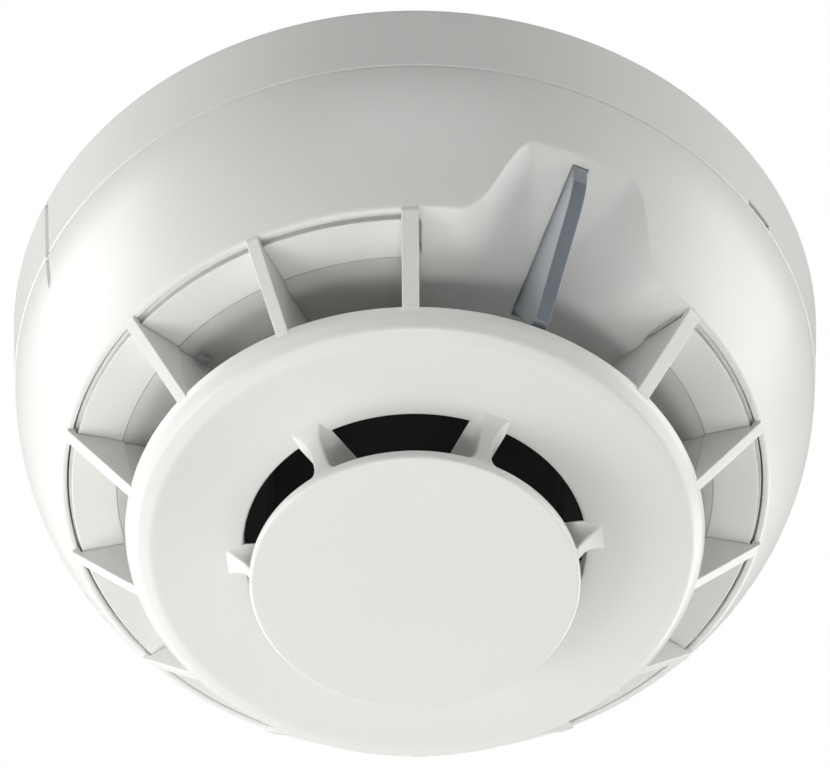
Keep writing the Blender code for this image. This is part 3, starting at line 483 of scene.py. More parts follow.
def worn_metal_group():
    """Plated or stamped metal: fine drawn lines, dull patches and darker handling marks."""
    group, given, out = shader_group("worn_metal", [
        ("Color", "NodeSocketColor", (0.6, 0.6, 0.6, 1.0)),
        ("Tarnish", "NodeSocketColor", (0.3, 0.28, 0.25, 1.0)),
        ("Tarnish Amount", "NodeSocketFloat", 0.3),
        ("Roughness", "NodeSocketFloat", 0.3),
        ("Line Depth", "NodeSocketFloat", 0.4),
    ], [("Color", "NodeSocketColor"), ("Roughness", "NodeSocketFloat"), ("Height", "NodeSocketFloat")])
    place = add_node(group, "ShaderNodeTexCoord").outputs["Object"]
    patch = add_node(group, "ShaderNodeTexNoise", {"Vector": place, "Scale": 260.0, "Detail": 5.0})
    patches = add_node(group, "ShaderNodeMapRange", {
        "Value": patch.outputs[0], "From Min": 0.45, "From Max": 0.75})
    amount = add_math(group, "MULTIPLY", patches.outputs[0], given["Tarnish Amount"])
    mixed = add_node(group, "ShaderNodeMix", {
        0: amount, 6: given["Color"], 7: given["Tarnish"]}, data_type="RGBA")
    group.links.new(mixed.outputs[2], out["Color"])
    rough = add_math(group, "ADD", add_math(group, "MULTIPLY", amount, 0.35), given["Roughness"])
    group.links.new(rough, out["Roughness"])
    drawn = add_node(group, "ShaderNodeMapping", {"Vector": place, "Scale": (1.0, 12.0, 1.0)})
    lines = add_node(group, "ShaderNodeTexNoise", {"Vector": drawn.outputs[0], "Scale": 900.0, "Detail": 2.0})
    group.links.new(add_math(group, "MULTIPLY", lines.outputs[0], given["Line Depth"]), out["Height"])
    return group


MOULDED_SKIN = moulded_skin_group()
WORN_METAL = worn_metal_group()


def finish(name, group, values, bump=0.02, **constants):
    """A material whose colour, roughness and relief come from a group, with its other values constant."""
    material = bpy.data.materials.new(name)
    material.use_nodes = True
    tree = material.node_tree
    shader = tree.nodes["Principled BSDF"]
    skin = add_node(tree, "ShaderNodeGroup", node_tree=group)
    for label, value in values.items():
        skin.inputs[label].default_value = value
    relief = add_node(tree, "ShaderNodeBump", {
        "Height": skin.outputs["Height"], "Strength": 1.0, "Distance": bump * MM})
    tree.links.new(skin.outputs["Color"], shader.inputs["Base Color"])
    tree.links.new(skin.outputs["Roughness"], shader.inputs["Roughness"])
    tree.links.new(relief.outputs[0], shader.inputs["Normal"])
    for label, value in constants.items():
        shader.inputs[label.replace("_", " ")].default_value = value
    return material


def skin_values(color, roughness, clouding=0.012, grain=0.25, depth=0.5, variation=0.06):
    return {"Color": (*color, 1.0), "Clouding": clouding, "Roughness": roughness,
            "Polish Variation": variation, "Grain Size": grain, "Grain Depth": depth}


def plastic(name, bump, *skin, **constants):
    return finish(name, MOULDED_SKIN, skin_values(*skin), bump, **constants)


def metal(name, color, roughness, **group_values):
    values = {"Color": (*color, 1.0), "Roughness": roughness}
    for label, value in group_values.items():
        values[label] = (*value, 1.0)
    return finish(name, WORN_METAL, values, 0.01, Metallic=1.0)


CLEAR_IOR = 1.49
WHITE = plastic("white_moulding", 0.012, (0.775, 0.775, 0.748), 0.36)
WHITE_FACE = plastic("white_face", 0.01, (0.775, 0.775, 0.748), 0.3, 0.01, 0.5, 0.4)
WHITE_INNER = plastic("white_inner", 0.012, (0.76, 0.76, 0.725), 0.42)
# The air guide is white plastic like the rest: this darker grey is painted shade, the cowl's shadow over the
# channel floor.
GUIDE_PAINTED_SHADE = plastic("guide_painted_shade", 0.012, (0.6, 0.6, 0.575), 0.45)
BLACK = plastic("black_moulding", 0.02, (0.006, 0.006, 0.006), 0.75, 0.1, 0.3)
BLACK_CASE = plastic("black_epoxy_case", 0.01, (0.02, 0.02, 0.022), 0.5, 0.15, 0.15)
SLEEVE = plastic("dark_blue_sleeve", 0.01, (0.02, 0.03, 0.09), 0.3, 0.1, 0.6)
BOARD = plastic("green_solder_mask", 0.02, (0.012, 0.12, 0.045), 0.35, 0.18, 0.8, Coat_Weight=0.4)
BEAD = plastic("epoxy_bead", 0.01, (0.03, 0.022, 0.015), 0.22, 0.2, 0.6)
LENS = plastic("clear_lens", 0.01, (0.86, 0.9, 0.95), 0.1, 0.02, 1.5, 0.3,
               Transmission_Weight=0.7, IOR=CLEAR_IOR)
LENS_EDGE = plastic("clear_lens_edge", 0.01, (0.36, 0.39, 0.44), 0.1, 0.05, 1.5, 0.3,
                    Transmission_Weight=0.5, IOR=CLEAR_IOR)
RED_LENS = plastic("red_lens", 0.01, (0.5, 0.015, 0.012), 0.12, 0.05, 1.0,
                   Transmission_Weight=0.4, IOR=CLEAR_IOR)
STEEL = metal("zinc_plated_steel", (0.62, 0.62, 0.60), 0.28)
BRASS = metal("stamped_brass", (0.75, 0.53, 0.22), 0.25, Tarnish=(0.32, 0.18, 0.07))
TINNED = metal("tinned_contact", (0.72, 0.72, 0.70), 0.3, Tarnish=(0.42, 0.41, 0.38))


def placed(thing, body, slot, *nodes):
    """The piece rides on a body and stands for CAD nodes, if any are named; its slot is not used."""
    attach(thing, body)
    if nodes:
        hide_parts(*nodes)
    return thing


# ---------------------------------------------------------------- base

def fixing_slot(side):
    """The cutter for one of the two slots that the ceiling screws pass through."""
    half_width = FIXING_SLOT[0] / 2
    straight = FIXING_SLOT[1] / 2 - half_width
    outline = []
    for i in range(24):
        angle = math.radians(7.5 + 15.0 * i)
        end = straight if math.sin(angle) > 0 else -straight
        x = side * FIXING_SPACING / 2 + half_width * math.cos(angle)
        outline.append((x, half_width * math.sin(angle) + end))
    return prism(f"fixing_slot_{side}", outline, -6.0, 2.0)


def base_ring():
    """The plain round base, with its cable hole, fixing slots, tool slot and alignment groove."""
    low = SEAM_Z
    inner_top = BASE_RADIUS - SKIRT_WALL
    inner_low = inner_top - SKIRT_TAPER
    shell = turned("base_ring", [
        (BASE_RADIUS, 0.0, 0.6),
        (BASE_RADIUS - SKIRT_TAPER, low, 0.3),
        (inner_low, low, 0.3),
        (inner_top, -BASE_PLATE, 0.8),
        (CABLE_HOLE_RADIUS + 3.0, -BASE_PLATE, 0.0),
        (CABLE_HOLE_RADIUS + 2.0, -BASE_PLATE - 0.8, 0.3),
        (CABLE_HOLE_RADIUS, -BASE_PLATE - 0.8, 0.4),
        (CABLE_HOLE_RADIUS, 0.0, 0.3),
    ], WHITE)
    cutters = [fixing_slot(1), fixing_slot(-1)]
    slot_place = polar(BASE_RADIUS - 1.1, TOOL_SLOT_AZIMUTH, SEAM_Z + 0.78)
    cutters.append(block("tool_slot", TOOL_SLOT, slot_place, TOOL_SLOT_AZIMUTH))
    mark_top = -0.5
    mark_place = polar(BASE_RADIUS - 0.35, MARK_AZIMUTH, (mark_top + SEAM_Z - 1.0) / 2)
    cutters.append(block("mark", (1.5, BASE_MARK_WIDTH, mark_top - SEAM_Z + 1.0), mark_place, MARK_AZIMUTH))
    cut_with(shell, cutters)
    tidy_normals(shell)
    return placed(shell, "base", "white_plastic", "base_shell")


def base_details():
    """Bayonet ledges with their stops and the terminals' pads, under the base plate."""
    wall = BASE_RADIUS - SKIRT_WALL
    inner, outer = wall - LEDGE_DEPTH, wall + 0.6
    ledge_low = LEDGE_TOP_Z - LEDGE_HEIGHT
    ledge = sector_block("ledge", inner, outer, LEDGE_TOP_Z, ledge_low, 0.0, LEDGE_ANGLE)
    stop = sector_block("stop", inner, outer, -BASE_PLATE + 0.2, ledge_low, LEDGE_ANGLE / 2 + 1.4, 2.0)
    ledges = joined("bayonet_ledges", [ledge, stop])
    round_axis(ledges, LEDGE_COUNT, LED_AZIMUTH, 360.0 / LEDGE_COUNT, WHITE)
    placed(tidy_normals(ledges), "base", "white_plastic")
    for i in range(TERMINAL_COUNT):
        low, high = box_mm(f"terminal_plate_{i + 1}")
        middle = (low + high) / 2
        azimuth = TERMINAL_AZIMUTH + i * 360.0 / TERMINAL_COUNT
        size = (*TERMINAL_PAD, -high.z - BASE_PLATE)
        place = (middle.x, middle.y, (-BASE_PLATE + high.z + 0.3) / 2 + 0.1)
        pad = block(f"terminal_pad_{i + 1}", size, place, azimuth, 0.25, WHITE)
        placed(pad, "base", "white_plastic")


# ---------------------------------------------------------------- dome, lip and scoop

def dome_point(share):
    """A point on the dome's outer curve, from the seam at 0 to the lip at 1, as (radius, z)."""
    start = Vector((HEAD_RADIUS, HEAD_TOP_Z))
    end = Vector((LIP_RADIUS, LIP_Z))
    chord = end - start
    length = chord.length
    normal = Vector((-chord[1], chord[0])) / length
    curve = (length * length / 4 + DOME_BULGE * DOME_BULGE) / (2 * DOME_BULGE)
    half = math.asin(length / 2 / curve)
    angle = half * (2 * share - 1)
    middle = (start + end) / 2 - normal * (curve - DOME_BULGE)
    return middle + curve * (normal * math.cos(angle) + chord / length * math.sin(angle))


def scoop_floor(radius, off_angle):
    """Height of the scoop's surface at a radius and an angle from the indicator."""
    centre = SCOOP_TOP_Z - (HEAD_RADIUS - SCOOP_TOP_SETBACK - radius) * SCOOP_SLOPE
    side = LIP_Z - 0.1 - 0.06 * (LIP_RADIUS - radius)
    flat = SCOOP_FLAT_ANGLE * min(1.0, max(0.0, (radius - 36.0) / 14.0))
    left = min(1.0, max(0.0, (SCOOP_EDGE_ANGLE - abs(off_angle)) / (SCOOP_EDGE_ANGLE - flat)))
    blend = smoothstep(1.0 - left ** 1.5)
    return centre + (side - centre) * blend


def scoop_edge(off_angle):
    """Share along the dome's curve where the scoop begins at an angle from the indicator."""
    low, high = 0.0, 1.0
    for _ in range(30):
        middle = (low + high) / 2
        radius, z = dome_point(middle)
        if z > scoop_floor(radius, off_angle):
            low = middle
        else:
            high = middle
    return min(high, 0.995)


DOME_POINTS = 22
EDGE_POINTS = 8
FLOOR_POINTS = 18
BACK_POINTS = 6


def bend(start, corner, end, count):
    """Points along a rounded corner, both ends included."""
    found = []
    for i in range(count):
        t = i / (count - 1)
        found.append(start * (1 - t) ** 2 + corner * 2 * t * (1 - t) + end * t * t)
    return found


def spread(start, end, count):
    """Evenly spaced points between two, neither included."""
    return [start + (end - start) * (i + 1) / (count + 1) for i in range(count)]


def cover_section(azimuth, scooped):
    """The closed outline of the cover's wall at an azimuth."""
    off_angle = (azimuth - LED_AZIMUTH + 180.0) % 360.0 - 180.0
    top = Vector((HEAD_RADIUS - COVER_WALL, HEAD_TOP_Z))
    rim = bend(top + Vector((COVER_WALL - 0.1, 0.0)), Vector((HEAD_RADIUS, HEAD_TOP_Z)), dome_point(0.005), 4)
    if scooped:
        share = scoop_edge(off_angle)
        corner = dome_point(share)
        down = (corner - dome_point(share - 0.02)).normalized()
        inward = Vector((corner[0] - 1.0, scoop_floor(corner[0] - 1.0, off_angle)))
        inward = (inward - Vector((corner[0], scoop_floor(corner[0], off_angle)))).normalized()
        size = SCOOP_EDGE_ROUND * math.tan(down.angle(inward) / 2)
        size = min(size, 1.4)
        length = (dome_point(1.0) - dome_point(0.0)).length
        begin = share - size / length
        edge = bend(dome_point(begin), corner, corner + inward * size, EDGE_POINTS)
        first = edge[-1][0]
        floor = []
        for i in range(FLOOR_POINTS):
            radius = first + (SCOOP_INNER_RADIUS - first) * ((i + 1) / FLOOR_POINTS)
            floor.append(Vector((radius, scoop_floor(radius, off_angle))))
        under = [floor[-1] + Vector((0.0, 1.5)),
                 Vector((first - 3.0, max(scoop_floor(first - 3.0, off_angle) + 1.5, -31.0)))]
    else:
        tip = dome_point(1.0)
        begin = 0.965
        edge = bend(dome_point(begin), tip + Vector((0.05, -0.15)), tip + Vector((-0.5, -0.05)), EDGE_POINTS)
        inner = LIP_RADIUS - LIP_WALL
        turn_in = tip + Vector((-0.55, -0.05))
        floor = bend(turn_in, Vector((inner, LIP_Z - 0.05)), Vector((inner, LIP_Z + 0.35)), 6)
        floor += spread(Vector((inner, LIP_Z + 0.4)), Vector((inner, LIP_Z + 5.0)), FLOOR_POINTS - 6)
        under = [Vector((inner, LIP_Z + 5.0)), Vector((inner + 0.3, LIP_Z + 5.4))]
    dome = [dome_point(0.03 + (begin - 0.035) * i / (DOME_POINTS - 1)) for i in range(DOME_POINTS)]
    wall_low = dome_point(min(begin, 0.72)) - Vector((COVER_WALL, 0.0))
    wall_low[1] = max(wall_low[1], under[1][1] + 0.4)
    back = spread(wall_low, top, BACK_POINTS)
    back = [Vector((min(point[0], wall_at(point[1])), point[1])) for point in back]
    return rim + dome + edge + floor + under + back + [top]


def wall_at(z):
    """Radius of the dome's inner face at a height."""
    low, high = 0.0, 1.0
    for _ in range(24):
        middle = (low + high) / 2
        if dome_point(middle)[1] > z:
            low = middle
        else:
            high = middle
    return dome_point(low)[0] - COVER_WALL


def cover_dome():
    """The domed wall, with its thin lip, and the scoop that runs in from it beside the indicator."""
    plain_sweep = 360.0 - 2 * FIN_PITCH
    plain = round(plain_sweep / 1.5)
    places = [(LED_AZIMUTH + FIN_PITCH + i * plain_sweep / plain, False) for i in range(plain + 1)]
    inside = FIN_PITCH - 0.4
    fine = 110
    places += [(LED_AZIMUTH - inside + 2 * inside * i / fine, True) for i in range(fine + 1)]
    sections = []
    for azimuth, scooped in places:
        sections.append([polar(radius, azimuth, z) for radius, z in cover_section(azimuth, scooped)])
    dome = loft("cover_dome", sections, WHITE)
    tidy_normals(dome)
    slot = upright_plate("blade_slot", [
        (31.8, -24.0, 0.0), (31.8, -38.0, 0.0), (50.72, -38.0, 0.0), (50.72, -18.0, 0.0)],
        BLADE_WIDTH + 0.3, 0.05, 1)
    cutters = [turned_to(slot, LED_AZIMUTH)]
    for side in (1, -1):
        azimuth = LED_AZIMUTH + side * FIN_PITCH
        across = polar(1.0, azimuth - 90.0 * side) * (FIN_WIDTH / 2 + 0.12)
        place = polar(42.4, azimuth, LIP_Z) + across
        cutters.append(block(f"side_gap_{side}", (5.0, 0.34, 2.6), place, azimuth))
    mark_place = polar(HEAD_RADIUS + 0.05, MARK_AZIMUTH, HEAD_TOP_Z - 3.7)
    mark = block("cover_mark", (1.5, COVER_MARK_WIDTH, 6.2), mark_place, MARK_AZIMUTH)
    cut_with(dome, cutters + [mark])
    tidy_normals(dome, 42.0)
    return placed(dome, "head", "white_plastic", "outer_cover")


# ---------------------------------------------------------------- fins, cowl, struts and cap

def fin(width):
    """One upright fin across the air channel, with its thinner foot behind the channel ring."""
    tip = Vector((LIP_RADIUS, LIP_Z))
    outer = upright_plate("fin", [
        (RING_INNER - 0.2, FLOOR_Z - 0.05, 0.0),
        (COWL_RADIUS - 0.8, COWL_RIM_Z - 1.3, 0.0),
        (COWL_RADIUS + 0.2, COWL_RIM_Z - 0.35, 0.3),
        (tip[0] + 0.05, tip[1] - 0.45, 0.5),
        (tip[0] + 0.05, tip[1] + 0.7, 0.2),
        (tip[0] - LIP_WALL - 0.05, tip[1] + 0.7, 0.0),
        (RING_OUTER + 0.2, FLOOR_Z - 0.05, 0.0),
    ], width, 0.32, material=WHITE)
    foot = upright_plate("fin_foot", [
        (30.5, FLOOR_Z - 0.05, 0.0),
        (30.5, COWL_FACE_Z + 1.2, 0.0),
        (COWL_RADIUS - 2.6, COWL_FACE_Z + 1.3, 0.0),
        (COWL_RADIUS - 0.6, COWL_RIM_Z - 0.6, 0.0),
        (COWL_RADIUS + 0.6, COWL_RIM_Z + 0.4, 0.0),
        (RING_INNER, FLOOR_Z - 0.05, 0.0),
    ], width - FIN_FOOT_THINNER, 0.15, material=WHITE)
    return joined("fin", [outer, foot])


def fins():
    """Thirteen fins: two thicker ones beside the scoop and eleven between them."""
    start = LED_AZIMUTH + 2 * FIN_PITCH
    regular = round_axis(fin(FIN_WIDTH - FIN_THINNER), FIN_PITCHES - 3, start, FIN_PITCH, WHITE)
    beside_scoop = round_axis(fin(FIN_WIDTH), 2, LED_AZIMUTH - FIN_PITCH, 2 * FIN_PITCH, WHITE)
    return placed(joined("cover_fins", [regular, beside_scoop]), "head", "white_plastic")


def cowl():
    """The front cowl: a shallow dished ring between the fins and the struts."""
    thing = turned("front_cowl", [
        (COWL_RADIUS, COWL_RIM_Z, 0.25),
        (COWL_RADIUS - 0.35, COWL_RIM_Z - 1.2, 1.5),
        (COWL_RADIUS - 1.5, COWL_RIM_Z - 2.6, 1.5),
        (COWL_RADIUS - 3.4, COWL_FACE_Z, 3.0),
        (26.0, COWL_FACE_Z + 0.3, 8.0),
        (THROAT_RADIUS, COWL_FACE_Z + 0.5, 0.45),
        (THROAT_RADIUS, COWL_FACE_Z + 4.2, 0.2),
        (THROAT_RADIUS + 1.5, COWL_FACE_Z + 4.2, 0.2),
        (THROAT_RADIUS + 1.7, COWL_FACE_Z + 2.2, 1.0),
        (COWL_RADIUS - 4.0, COWL_FACE_Z + 1.8, 1.0),
        (COWL_RADIUS - 1.4, COWL_RIM_Z + 0.2, 0.3),
    ], WHITE_FACE)
    return placed(thing, "head", "white_plastic")


def cap():
    """The plain front cap, held in front of the throat."""
    thing = turned("front_cap", [
        (0.0, CAP_BACK_Z, 0.0),
        (CAP_RADIUS, CAP_BACK_Z, 0.45),
        (CAP_RADIUS, CAP_FACE_Z, 0.55),
        (0.0, CAP_FACE_Z, 0.0),
    ], WHITE_FACE, closed=False)
    return placed(thing, "head", "white_plastic")


def strut_level(z, inner, outer, width, corner=0.35):
    """One level of a strut: a rounded rectangle from its inner to its outer edge."""
    half = width / 2
    corner = min(corner, half * 0.9, (outer - inner) * 0.4)
    outline = []
    for cx, cy, turn in ((outer - corner, half - corner, 0), (inner + corner, half - corner, 1),
                         (inner + corner, -half + corner, 2), (outer - corner, -half + corner, 3)):
        for k in range(5):
            angle = math.radians(90.0 * turn + 22.5 * k)
            outline.append((cx + corner * math.cos(angle), cy + corner * math.sin(angle), z))
    return outline


def struts():
    """Six struts that carry the cap, flared where they meet the cowl's face and the back of the cap."""
    face = COWL_FACE_Z + 0.5
    back = CAP_BACK_Z
    levels = [
        (face + 2.2, 20.8, 22.9, 2.0), (face + 1.2, 16.5, 22.9, 2.0), (face + 0.5, 14.4, 23.0, 2.2),
        (face + 0.12, 14.0, 25.1, 5.2), (face - 0.15, 13.9, 24.6, 4.2), (face - 0.5, 13.8, 24.0, 3.3),
        (face - 0.9, 13.6, 23.4, 2.7), (face - 1.4, 13.3, 22.8, 2.3), (face - 2.0, 12.9, 22.2, 2.1),
        (back + 2.6, 12.0, 21.4, 2.1), (back + 2.0, 11.4, 21.1, 2.25), (back + 1.5, 11.0, 20.9, 2.6),
        (back + 1.05, 10.6, 20.8, 3.2), (back + 0.7, 10.2, 20.8, 4.0), (back + 0.4, 10.0, 20.9, 5.0),
        (back + 0.15, 9.8, 21.0, 6.4), (back - 0.15, 9.6, 21.1, 7.8),
    ]
    thing = loft("strut", [strut_level(*level) for level in levels], WHITE, around=False)
    tidy_normals(thing, 50.0)
    thing.name = "cap_struts"
    round_axis(thing, STRUT_COUNT, LED_AZIMUTH, 360.0 / STRUT_COUNT, WHITE_FACE)
    return placed(thing, "head", "white_plastic")


# ---------------------------------------------------------------- inner mouldings

CHANNEL_START = LED_AZIMUTH + FIN_PITCH + 0.7
CHANNEL_SWEEP = 360.0 - 2 * FIN_PITCH - 1.4


def channel_ring():
    """The pale ring between the fins, with the flange that closes its gap to the lip."""
    thing = turned("channel_ring_face", [
        (RING_OUTER, FLOOR_Z + 8.6, 0.2),
        (RING_OUTER, FLOOR_Z + 2.4, 0.0),
        (LIP_RADIUS - LIP_WALL - 0.2, FLOOR_Z + 2.4, 0.0),
        (LIP_RADIUS - LIP_WALL - 0.2, FLOOR_Z + 1.15, 0.1),
        (RING_OUTER, FLOOR_Z + 1.1, 0.1),
        (RING_OUTER, FLOOR_Z, 0.18),
        (RING_INNER, FLOOR_Z, 0.06),
        (RING_INNER, FLOOR_Z + FLOOR_WALL, 0.2),
        (RING_OUTER - WALL, FLOOR_Z + FLOOR_WALL, 0.4),
        (RING_OUTER - WALL, FLOOR_Z + 8.6, 0.2),
    ], WHITE_INNER, start=CHANNEL_START, sweep=CHANNEL_SWEEP)
    return placed(thing, "head", "white_plastic", "channel_ring")


def air_guide():
    """The floor of the air channel, open where the scoop passes, with the bosses behind it, in white plastic
    darkened to grey as painted shade from the cowl.
    """
    inner = CHAMBER_HIGH_RADIUS + 0.3
    outer = turned("guide_outer", [
        (GUIDE_OUTER, GUIDE_HIGH.z - 3.5, 0.2),
        (GUIDE_OUTER, FLOOR_Z, 0.06),
        (30.4, FLOOR_Z, 0.0),
        (30.4, FLOOR_Z + FLOOR_WALL, 0.0),
        (GUIDE_OUTER - WALL, FLOOR_Z + FLOOR_WALL, 0.4),
        (GUIDE_OUTER - WALL, GUIDE_HIGH.z - 3.5, 0.2),
    ], GUIDE_PAINTED_SHADE, start=CHANNEL_START, sweep=CHANNEL_SWEEP)
    middle = turned("guide_middle", [
        (30.5, FLOOR_Z + 0.001, 0.0),
        (inner, FLOOR_Z + 0.001, 0.2),
        (inner, FLOOR_Z + FLOOR_WALL, 0.2),
        (30.5, FLOOR_Z + FLOOR_WALL, 0.0),
    ], GUIDE_PAINTED_SHADE)
    boss = turned("guide_boss", [
        (1.65, GUIDE_HIGH.z, 0.2),
        (3.0, GUIDE_HIGH.z, 0.2),
        (3.0, FLOOR_Z + 0.6, 0.0),
        (1.65, FLOOR_Z + 0.6, 0.0),
    ], GUIDE_PAINTED_SHADE, steps=32)
    boss.data.transform(Matrix.Translation(polar(26.5, 0.0) * MM))
    round_axis(boss, 3, 60.0, 120.0, GUIDE_PAINTED_SHADE)
    thing = joined("air_guide_floor", [outer, middle, boss])
    return placed(thing, "head", "white_plastic", "air_guide")


def guide_catch():
    """A small clear hook on the channel floor beside a fin."""
    thing = upright_plate("guide_catch", [
        (34.9, FLOOR_Z + 0.2, 0.0),
        (34.9, FLOOR_Z - 0.9, 0.3),
        (35.6, FLOOR_Z - 1.3, 0.3),
        (36.9, FLOOR_Z - 0.9, 0.3),
        (36.7, FLOOR_Z - 0.55, 0.1),
        (35.8, FLOOR_Z - 0.8, 0.2),
        (35.6, FLOOR_Z + 0.2, 0.0),
    ], 0.9, 0.12, material=LENS)
    turned_to(thing, LED_AZIMUTH + 11 * FIN_PITCH + 2.6)
    return placed(thing, "head", "clear_plastic")


def light_pipe():
    """The clear blade that stands in the scoop, with its stem up to the indicator."""
    top = HEAD_RADIUS - 3.2
    foot = 1.3
    led = math.hypot(LED_AT.x, LED_AT.y)
    thing = upright_plate("light_blade", [
        (top, scoop_floor(top, 0.0) + foot, 0.0),
        (led + 1.6, scoop_floor(led + 1.6, 0.0) + foot, 0.0),
        (led + 1.6, LED_LOW.z - 0.3, 0.0),
        (led - 1.6, LED_LOW.z - 0.3, 0.0),
        (led - 1.6, scoop_floor(led, 0.0) - 0.8, 0.3),
        (33.6, LIP_Z - 2.0, 2.0),
        (34.4, COWL_RIM_Z + 5.5, 3.0),
        (COWL_RADIUS - 1.4, COWL_RIM_Z + 0.9, 0.5),
        (COWL_RADIUS + 0.6, COWL_RIM_Z + 0.7, 0.4),
        (COWL_RADIUS + 2.2, COWL_RIM_Z + 2.6, 6.0),
        (LIP_RADIUS - 1.3, LIP_Z - 0.5, 12.0),
        (LIP_RADIUS + 2.2, LIP_Z + 3.6, 6.0),
        (LIP_RADIUS + 3.7, LIP_Z + 6.3, 8.0),
        (top, scoop_floor(top, 0.0) - 0.3, 0.25),
    ], BLADE_WIDTH, 0.16, material=LENS)
    thing.data.materials.append(LENS_EDGE)
    for face in thing.data.polygons:
        deep = face.center.z > -26.0 * MM
        face.material_index = 1 if abs(face.normal.y) < 0.5 and not deep else 0
    turned_to(thing, LED_AZIMUTH)
    return placed(thing, "head", "clear_plastic", "light_pipe")


def sensing_chamber():
    """The matt black lining round the sensor's stalk."""
    face = CHAMBER_LOW.z
    back = FLOOR_Z + 3.0
    lining = turned("chamber_lining", [
        (1.9, CHAMBER_HIGH.z, 0.2),
        (3.4, CHAMBER_HIGH.z, 0.2),
        (3.4, back, 0.3),
        (CHAMBER_HIGH_RADIUS, back, 0.3),
        (CHAMBER_HIGH_RADIUS, FLOOR_Z - 0.3, 0.0),
        (CHAMBER_HIGH.x, FLOOR_Z - 0.3, 0.2),
        (CHAMBER_HIGH.x, FLOOR_Z - 1.5, 0.2),
        (CHAMBER_HIGH_RADIUS - 1.6, FLOOR_Z - 1.5, 0.3),
        (CHAMBER_HIGH_RADIUS - 2.6, back - 1.6, 0.6),
        (3.8, back - 1.6, 0.5),
        (3.0, face, 0.3),
        (1.9, face, 0.2),
    ], BLACK)
    return placed(lining, "head", "black_plastic", "sensing_chamber")


def insect_guard():
    """A ring of fine bars between two rims, round the chamber."""
    outer = GUARD_HIGH.x
    inner = outer - 0.8
    rims = []
    for z in (GUARD_HIGH.z, GUARD_LOW.z + 1.0):
        outline = [(outer, z, 0.15), (outer, z - 1.0, 0.15), (inner, z - 1.0, 0.15), (inner, z, 0.15)]
        rims.append(turned("guard_rim", outline, BLACK))
    size = (0.8, 1.6, GUARD_HIGH.z - GUARD_LOW.z - 1.6)
    bar = block("guard_bar", size, ((outer + inner) / 2, 0.0, (GUARD_HIGH.z + GUARD_LOW.z) / 2), 0.0, 0.12)
    round_axis(bar, 24, LED_AZIMUTH, 15.0, BLACK)
    thing = joined("insect_guard_ring", rims + [bar])
    return placed(thing, "head", "black_plastic", "insect_guard")


def sensing_bead():
    """The epoxy bead that senses the heat, on its two leads."""
    middle = BEAD_LOW.z + 1.6
    bead = turned("sensing_bead", [
        (0.0, middle + 1.6, 0.0),
        (1.0, middle + 1.3, 0.8),
        (1.2, middle, 1.5),
        (0.9, middle - 1.3, 0.8),
        (0.0, middle - 1.6, 0.0),
    ], BEAD, closed=False, steps=32)
    leads = []
    for side in (1, -1):
        lead = turned("sensing_lead", [
            (0.0, BEAD_HIGH.z, 0.0), (0.28, BEAD_HIGH.z, 0.0), (0.28, middle, 0.0), (0.0, middle, 0.0)],
            TINNED, closed=False, steps=12)
        lead.data.transform(Matrix.Translation(Vector((side * 0.7, 0.0, 0.0)) * MM))
        leads.append(lead)
    thing = joined("sensing_bead", [bead] + leads)
    return placed(thing, "head", "bead", "thermistor")


# ---------------------------------------------------------------- CAD nodes that keep their shape

CAD_FINISHES = {
    "lock_latch": WHITE, "rear_moulding": WHITE_INNER, "circuit_board": BOARD, "indicator_led": RED_LENS,
    "controller_chip": BLACK_CASE, "comparator_chip": BLACK_CASE, "test_header": BLACK_CASE,
    "smoothing_capacitor": SLEEVE, "terminal_plate": BRASS, "terminal_clamp": STEEL,
    "terminal_screw": STEEL, "contact_spring": STEEL, "contact_blade": TINNED, "case_screw": STEEL,
}


def finish_cad_nodes():
    """A node's finish is found by its name without its number."""
    for name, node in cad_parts.items():
        kind = name.rstrip("0123456789").rstrip("_")
        if kind in CAD_FINISHES:
            node.data.materials.clear()
            node.data.materials.append(CAD_FINISHES[kind])


# ---------------------------------------------------------------- stage, light and camera

def area_light(name, place, target, size, power):
    data = bpy.data.lights.new(name, "AREA")
    data.shape = "RECTANGLE"
    data.size = size
    data.size_y = size
    data.energy = power
    lamp = bpy.data.objects.new(name, data)
    bpy.context.scene.collection.objects.link(lamp)
    lamp.location = place
    lamp.rotation_euler = (target - place).to_track_quat("-Z", "Y").to_euler()
    lamp.visible_camera = False


LIGHT_DISTANCE = 0.9
STUDIO_FLOOR_Z = -5.0
STUDIO_FLOOR_SIDE = 60.0

# Soft boxes: angle up from straight below, azimuth, side in metres and power in watts.
SOFT_BOXES = [
    (14, 280, 0.2, 1.35), (20, 270, 1.6, 2.0), (0, 0, 0.45, 0.85), (25, 135, 0.4, 1.1), (25, 45, 0.4, 0.8),
    (55, 180, 0.5, 3.2), (55, 135, 0.5, 1.05), (85, 45, 0.6, 3.8), (85, 135, 0.6, 3.7),
    (85, 0, 0.6, 2.7), (85, 180, 0.6, 0.6), (110, 180, 0.6, 4.8), (110, 0, 0.6, 3.5),
    (110, 270, 0.6, 2.95), (110, 90, 0.6, 0.5),
]


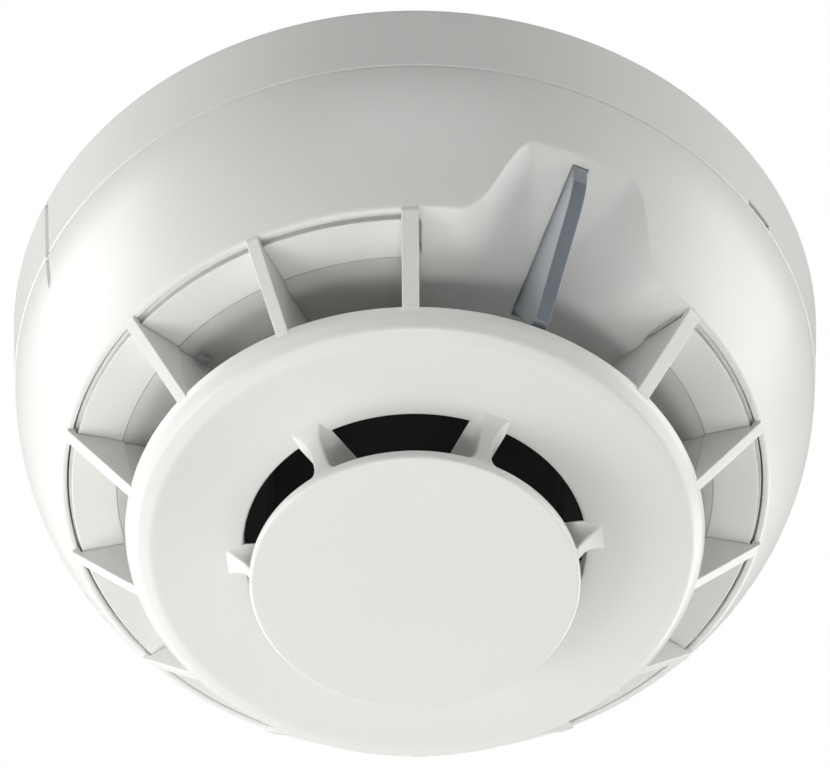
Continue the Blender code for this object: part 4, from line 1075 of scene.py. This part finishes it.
def studio():
    """A white room with soft boxes under and beside the detector, and a pale floor that lights nothing."""
    bpy.ops.mesh.primitive_plane_add(size=STUDIO_FLOOR_SIDE, location=(0.0, 0.0, STUDIO_FLOOR_Z))
    floor = bpy.context.object
    floor.name = "studio_floor"
    paint = bpy.data.materials.new("studio_white")
    paint.use_nodes = True
    shader = paint.node_tree.nodes["Principled BSDF"]
    shader.inputs["Base Color"].default_value = (0.85, 0.85, 0.85, 1.0)
    shader.inputs["Roughness"].default_value = 0.9
    shader.inputs["Emission Color"].default_value = (0.72, 0.72, 0.72, 1.0)
    seen = add_node(paint.node_tree, "ShaderNodeLightPath")
    paint.node_tree.links.new(seen.outputs["Is Camera Ray"], shader.inputs["Emission Strength"])
    floor.data.materials.append(paint)
    middle = Vector((0.0, 0.0, -0.03))
    for theta, azimuth, size, power in SOFT_BOXES:
        angle = math.radians(theta)
        place = middle + LIGHT_DISTANCE * polar(math.sin(angle), azimuth, -math.cos(angle))
        area_light(f"soft_box_{theta}_{azimuth}", place, middle, size, power)
    world = bpy.data.worlds.new("white_room")
    world.use_nodes = True
    tree = world.node_tree
    background = tree.nodes["Background"]
    seen = add_node(tree, "ShaderNodeLightPath")
    background.inputs["Color"].default_value = (1.0, 1.0, 1.0, 1.0)
    tree.links.new(seen.outputs["Is Camera Ray"], background.inputs["Strength"])
    bpy.context.scene.world = world
    bpy.context.scene.view_settings.view_transform = "Standard"


CAMERA_RISE = 51.914
CAMERA_DISTANCE = 0.8516
CAMERA_LENS = 271.208
CAMERA_SHIFT = -0.0561


def camera():
    """From below and in front, through a long lens."""
    data = bpy.data.cameras.new("camera")
    data.lens = CAMERA_LENS
    data.shift_y = CAMERA_SHIFT
    data.clip_end = 20.0
    thing = bpy.data.objects.new("camera", data)
    bpy.context.scene.collection.objects.link(thing)
    rise = math.radians(CAMERA_RISE)
    thing.location = (0.0, -CAMERA_DISTANCE * math.cos(rise), -CAMERA_DISTANCE * math.sin(rise))
    thing.rotation_euler = (-thing.location).to_track_quat("-Z", "Y").to_euler()
    bpy.context.scene.camera = thing


# ---------------------------------------------------------------- assembly

base_ring()
base_details()
cover_dome()
fins()
cowl()
cap()
struts()
channel_ring()
air_guide()
guide_catch()
light_pipe()
sensing_chamber()
insect_guard()
sensing_bead()
finish_cad_nodes()
studio()
camera()
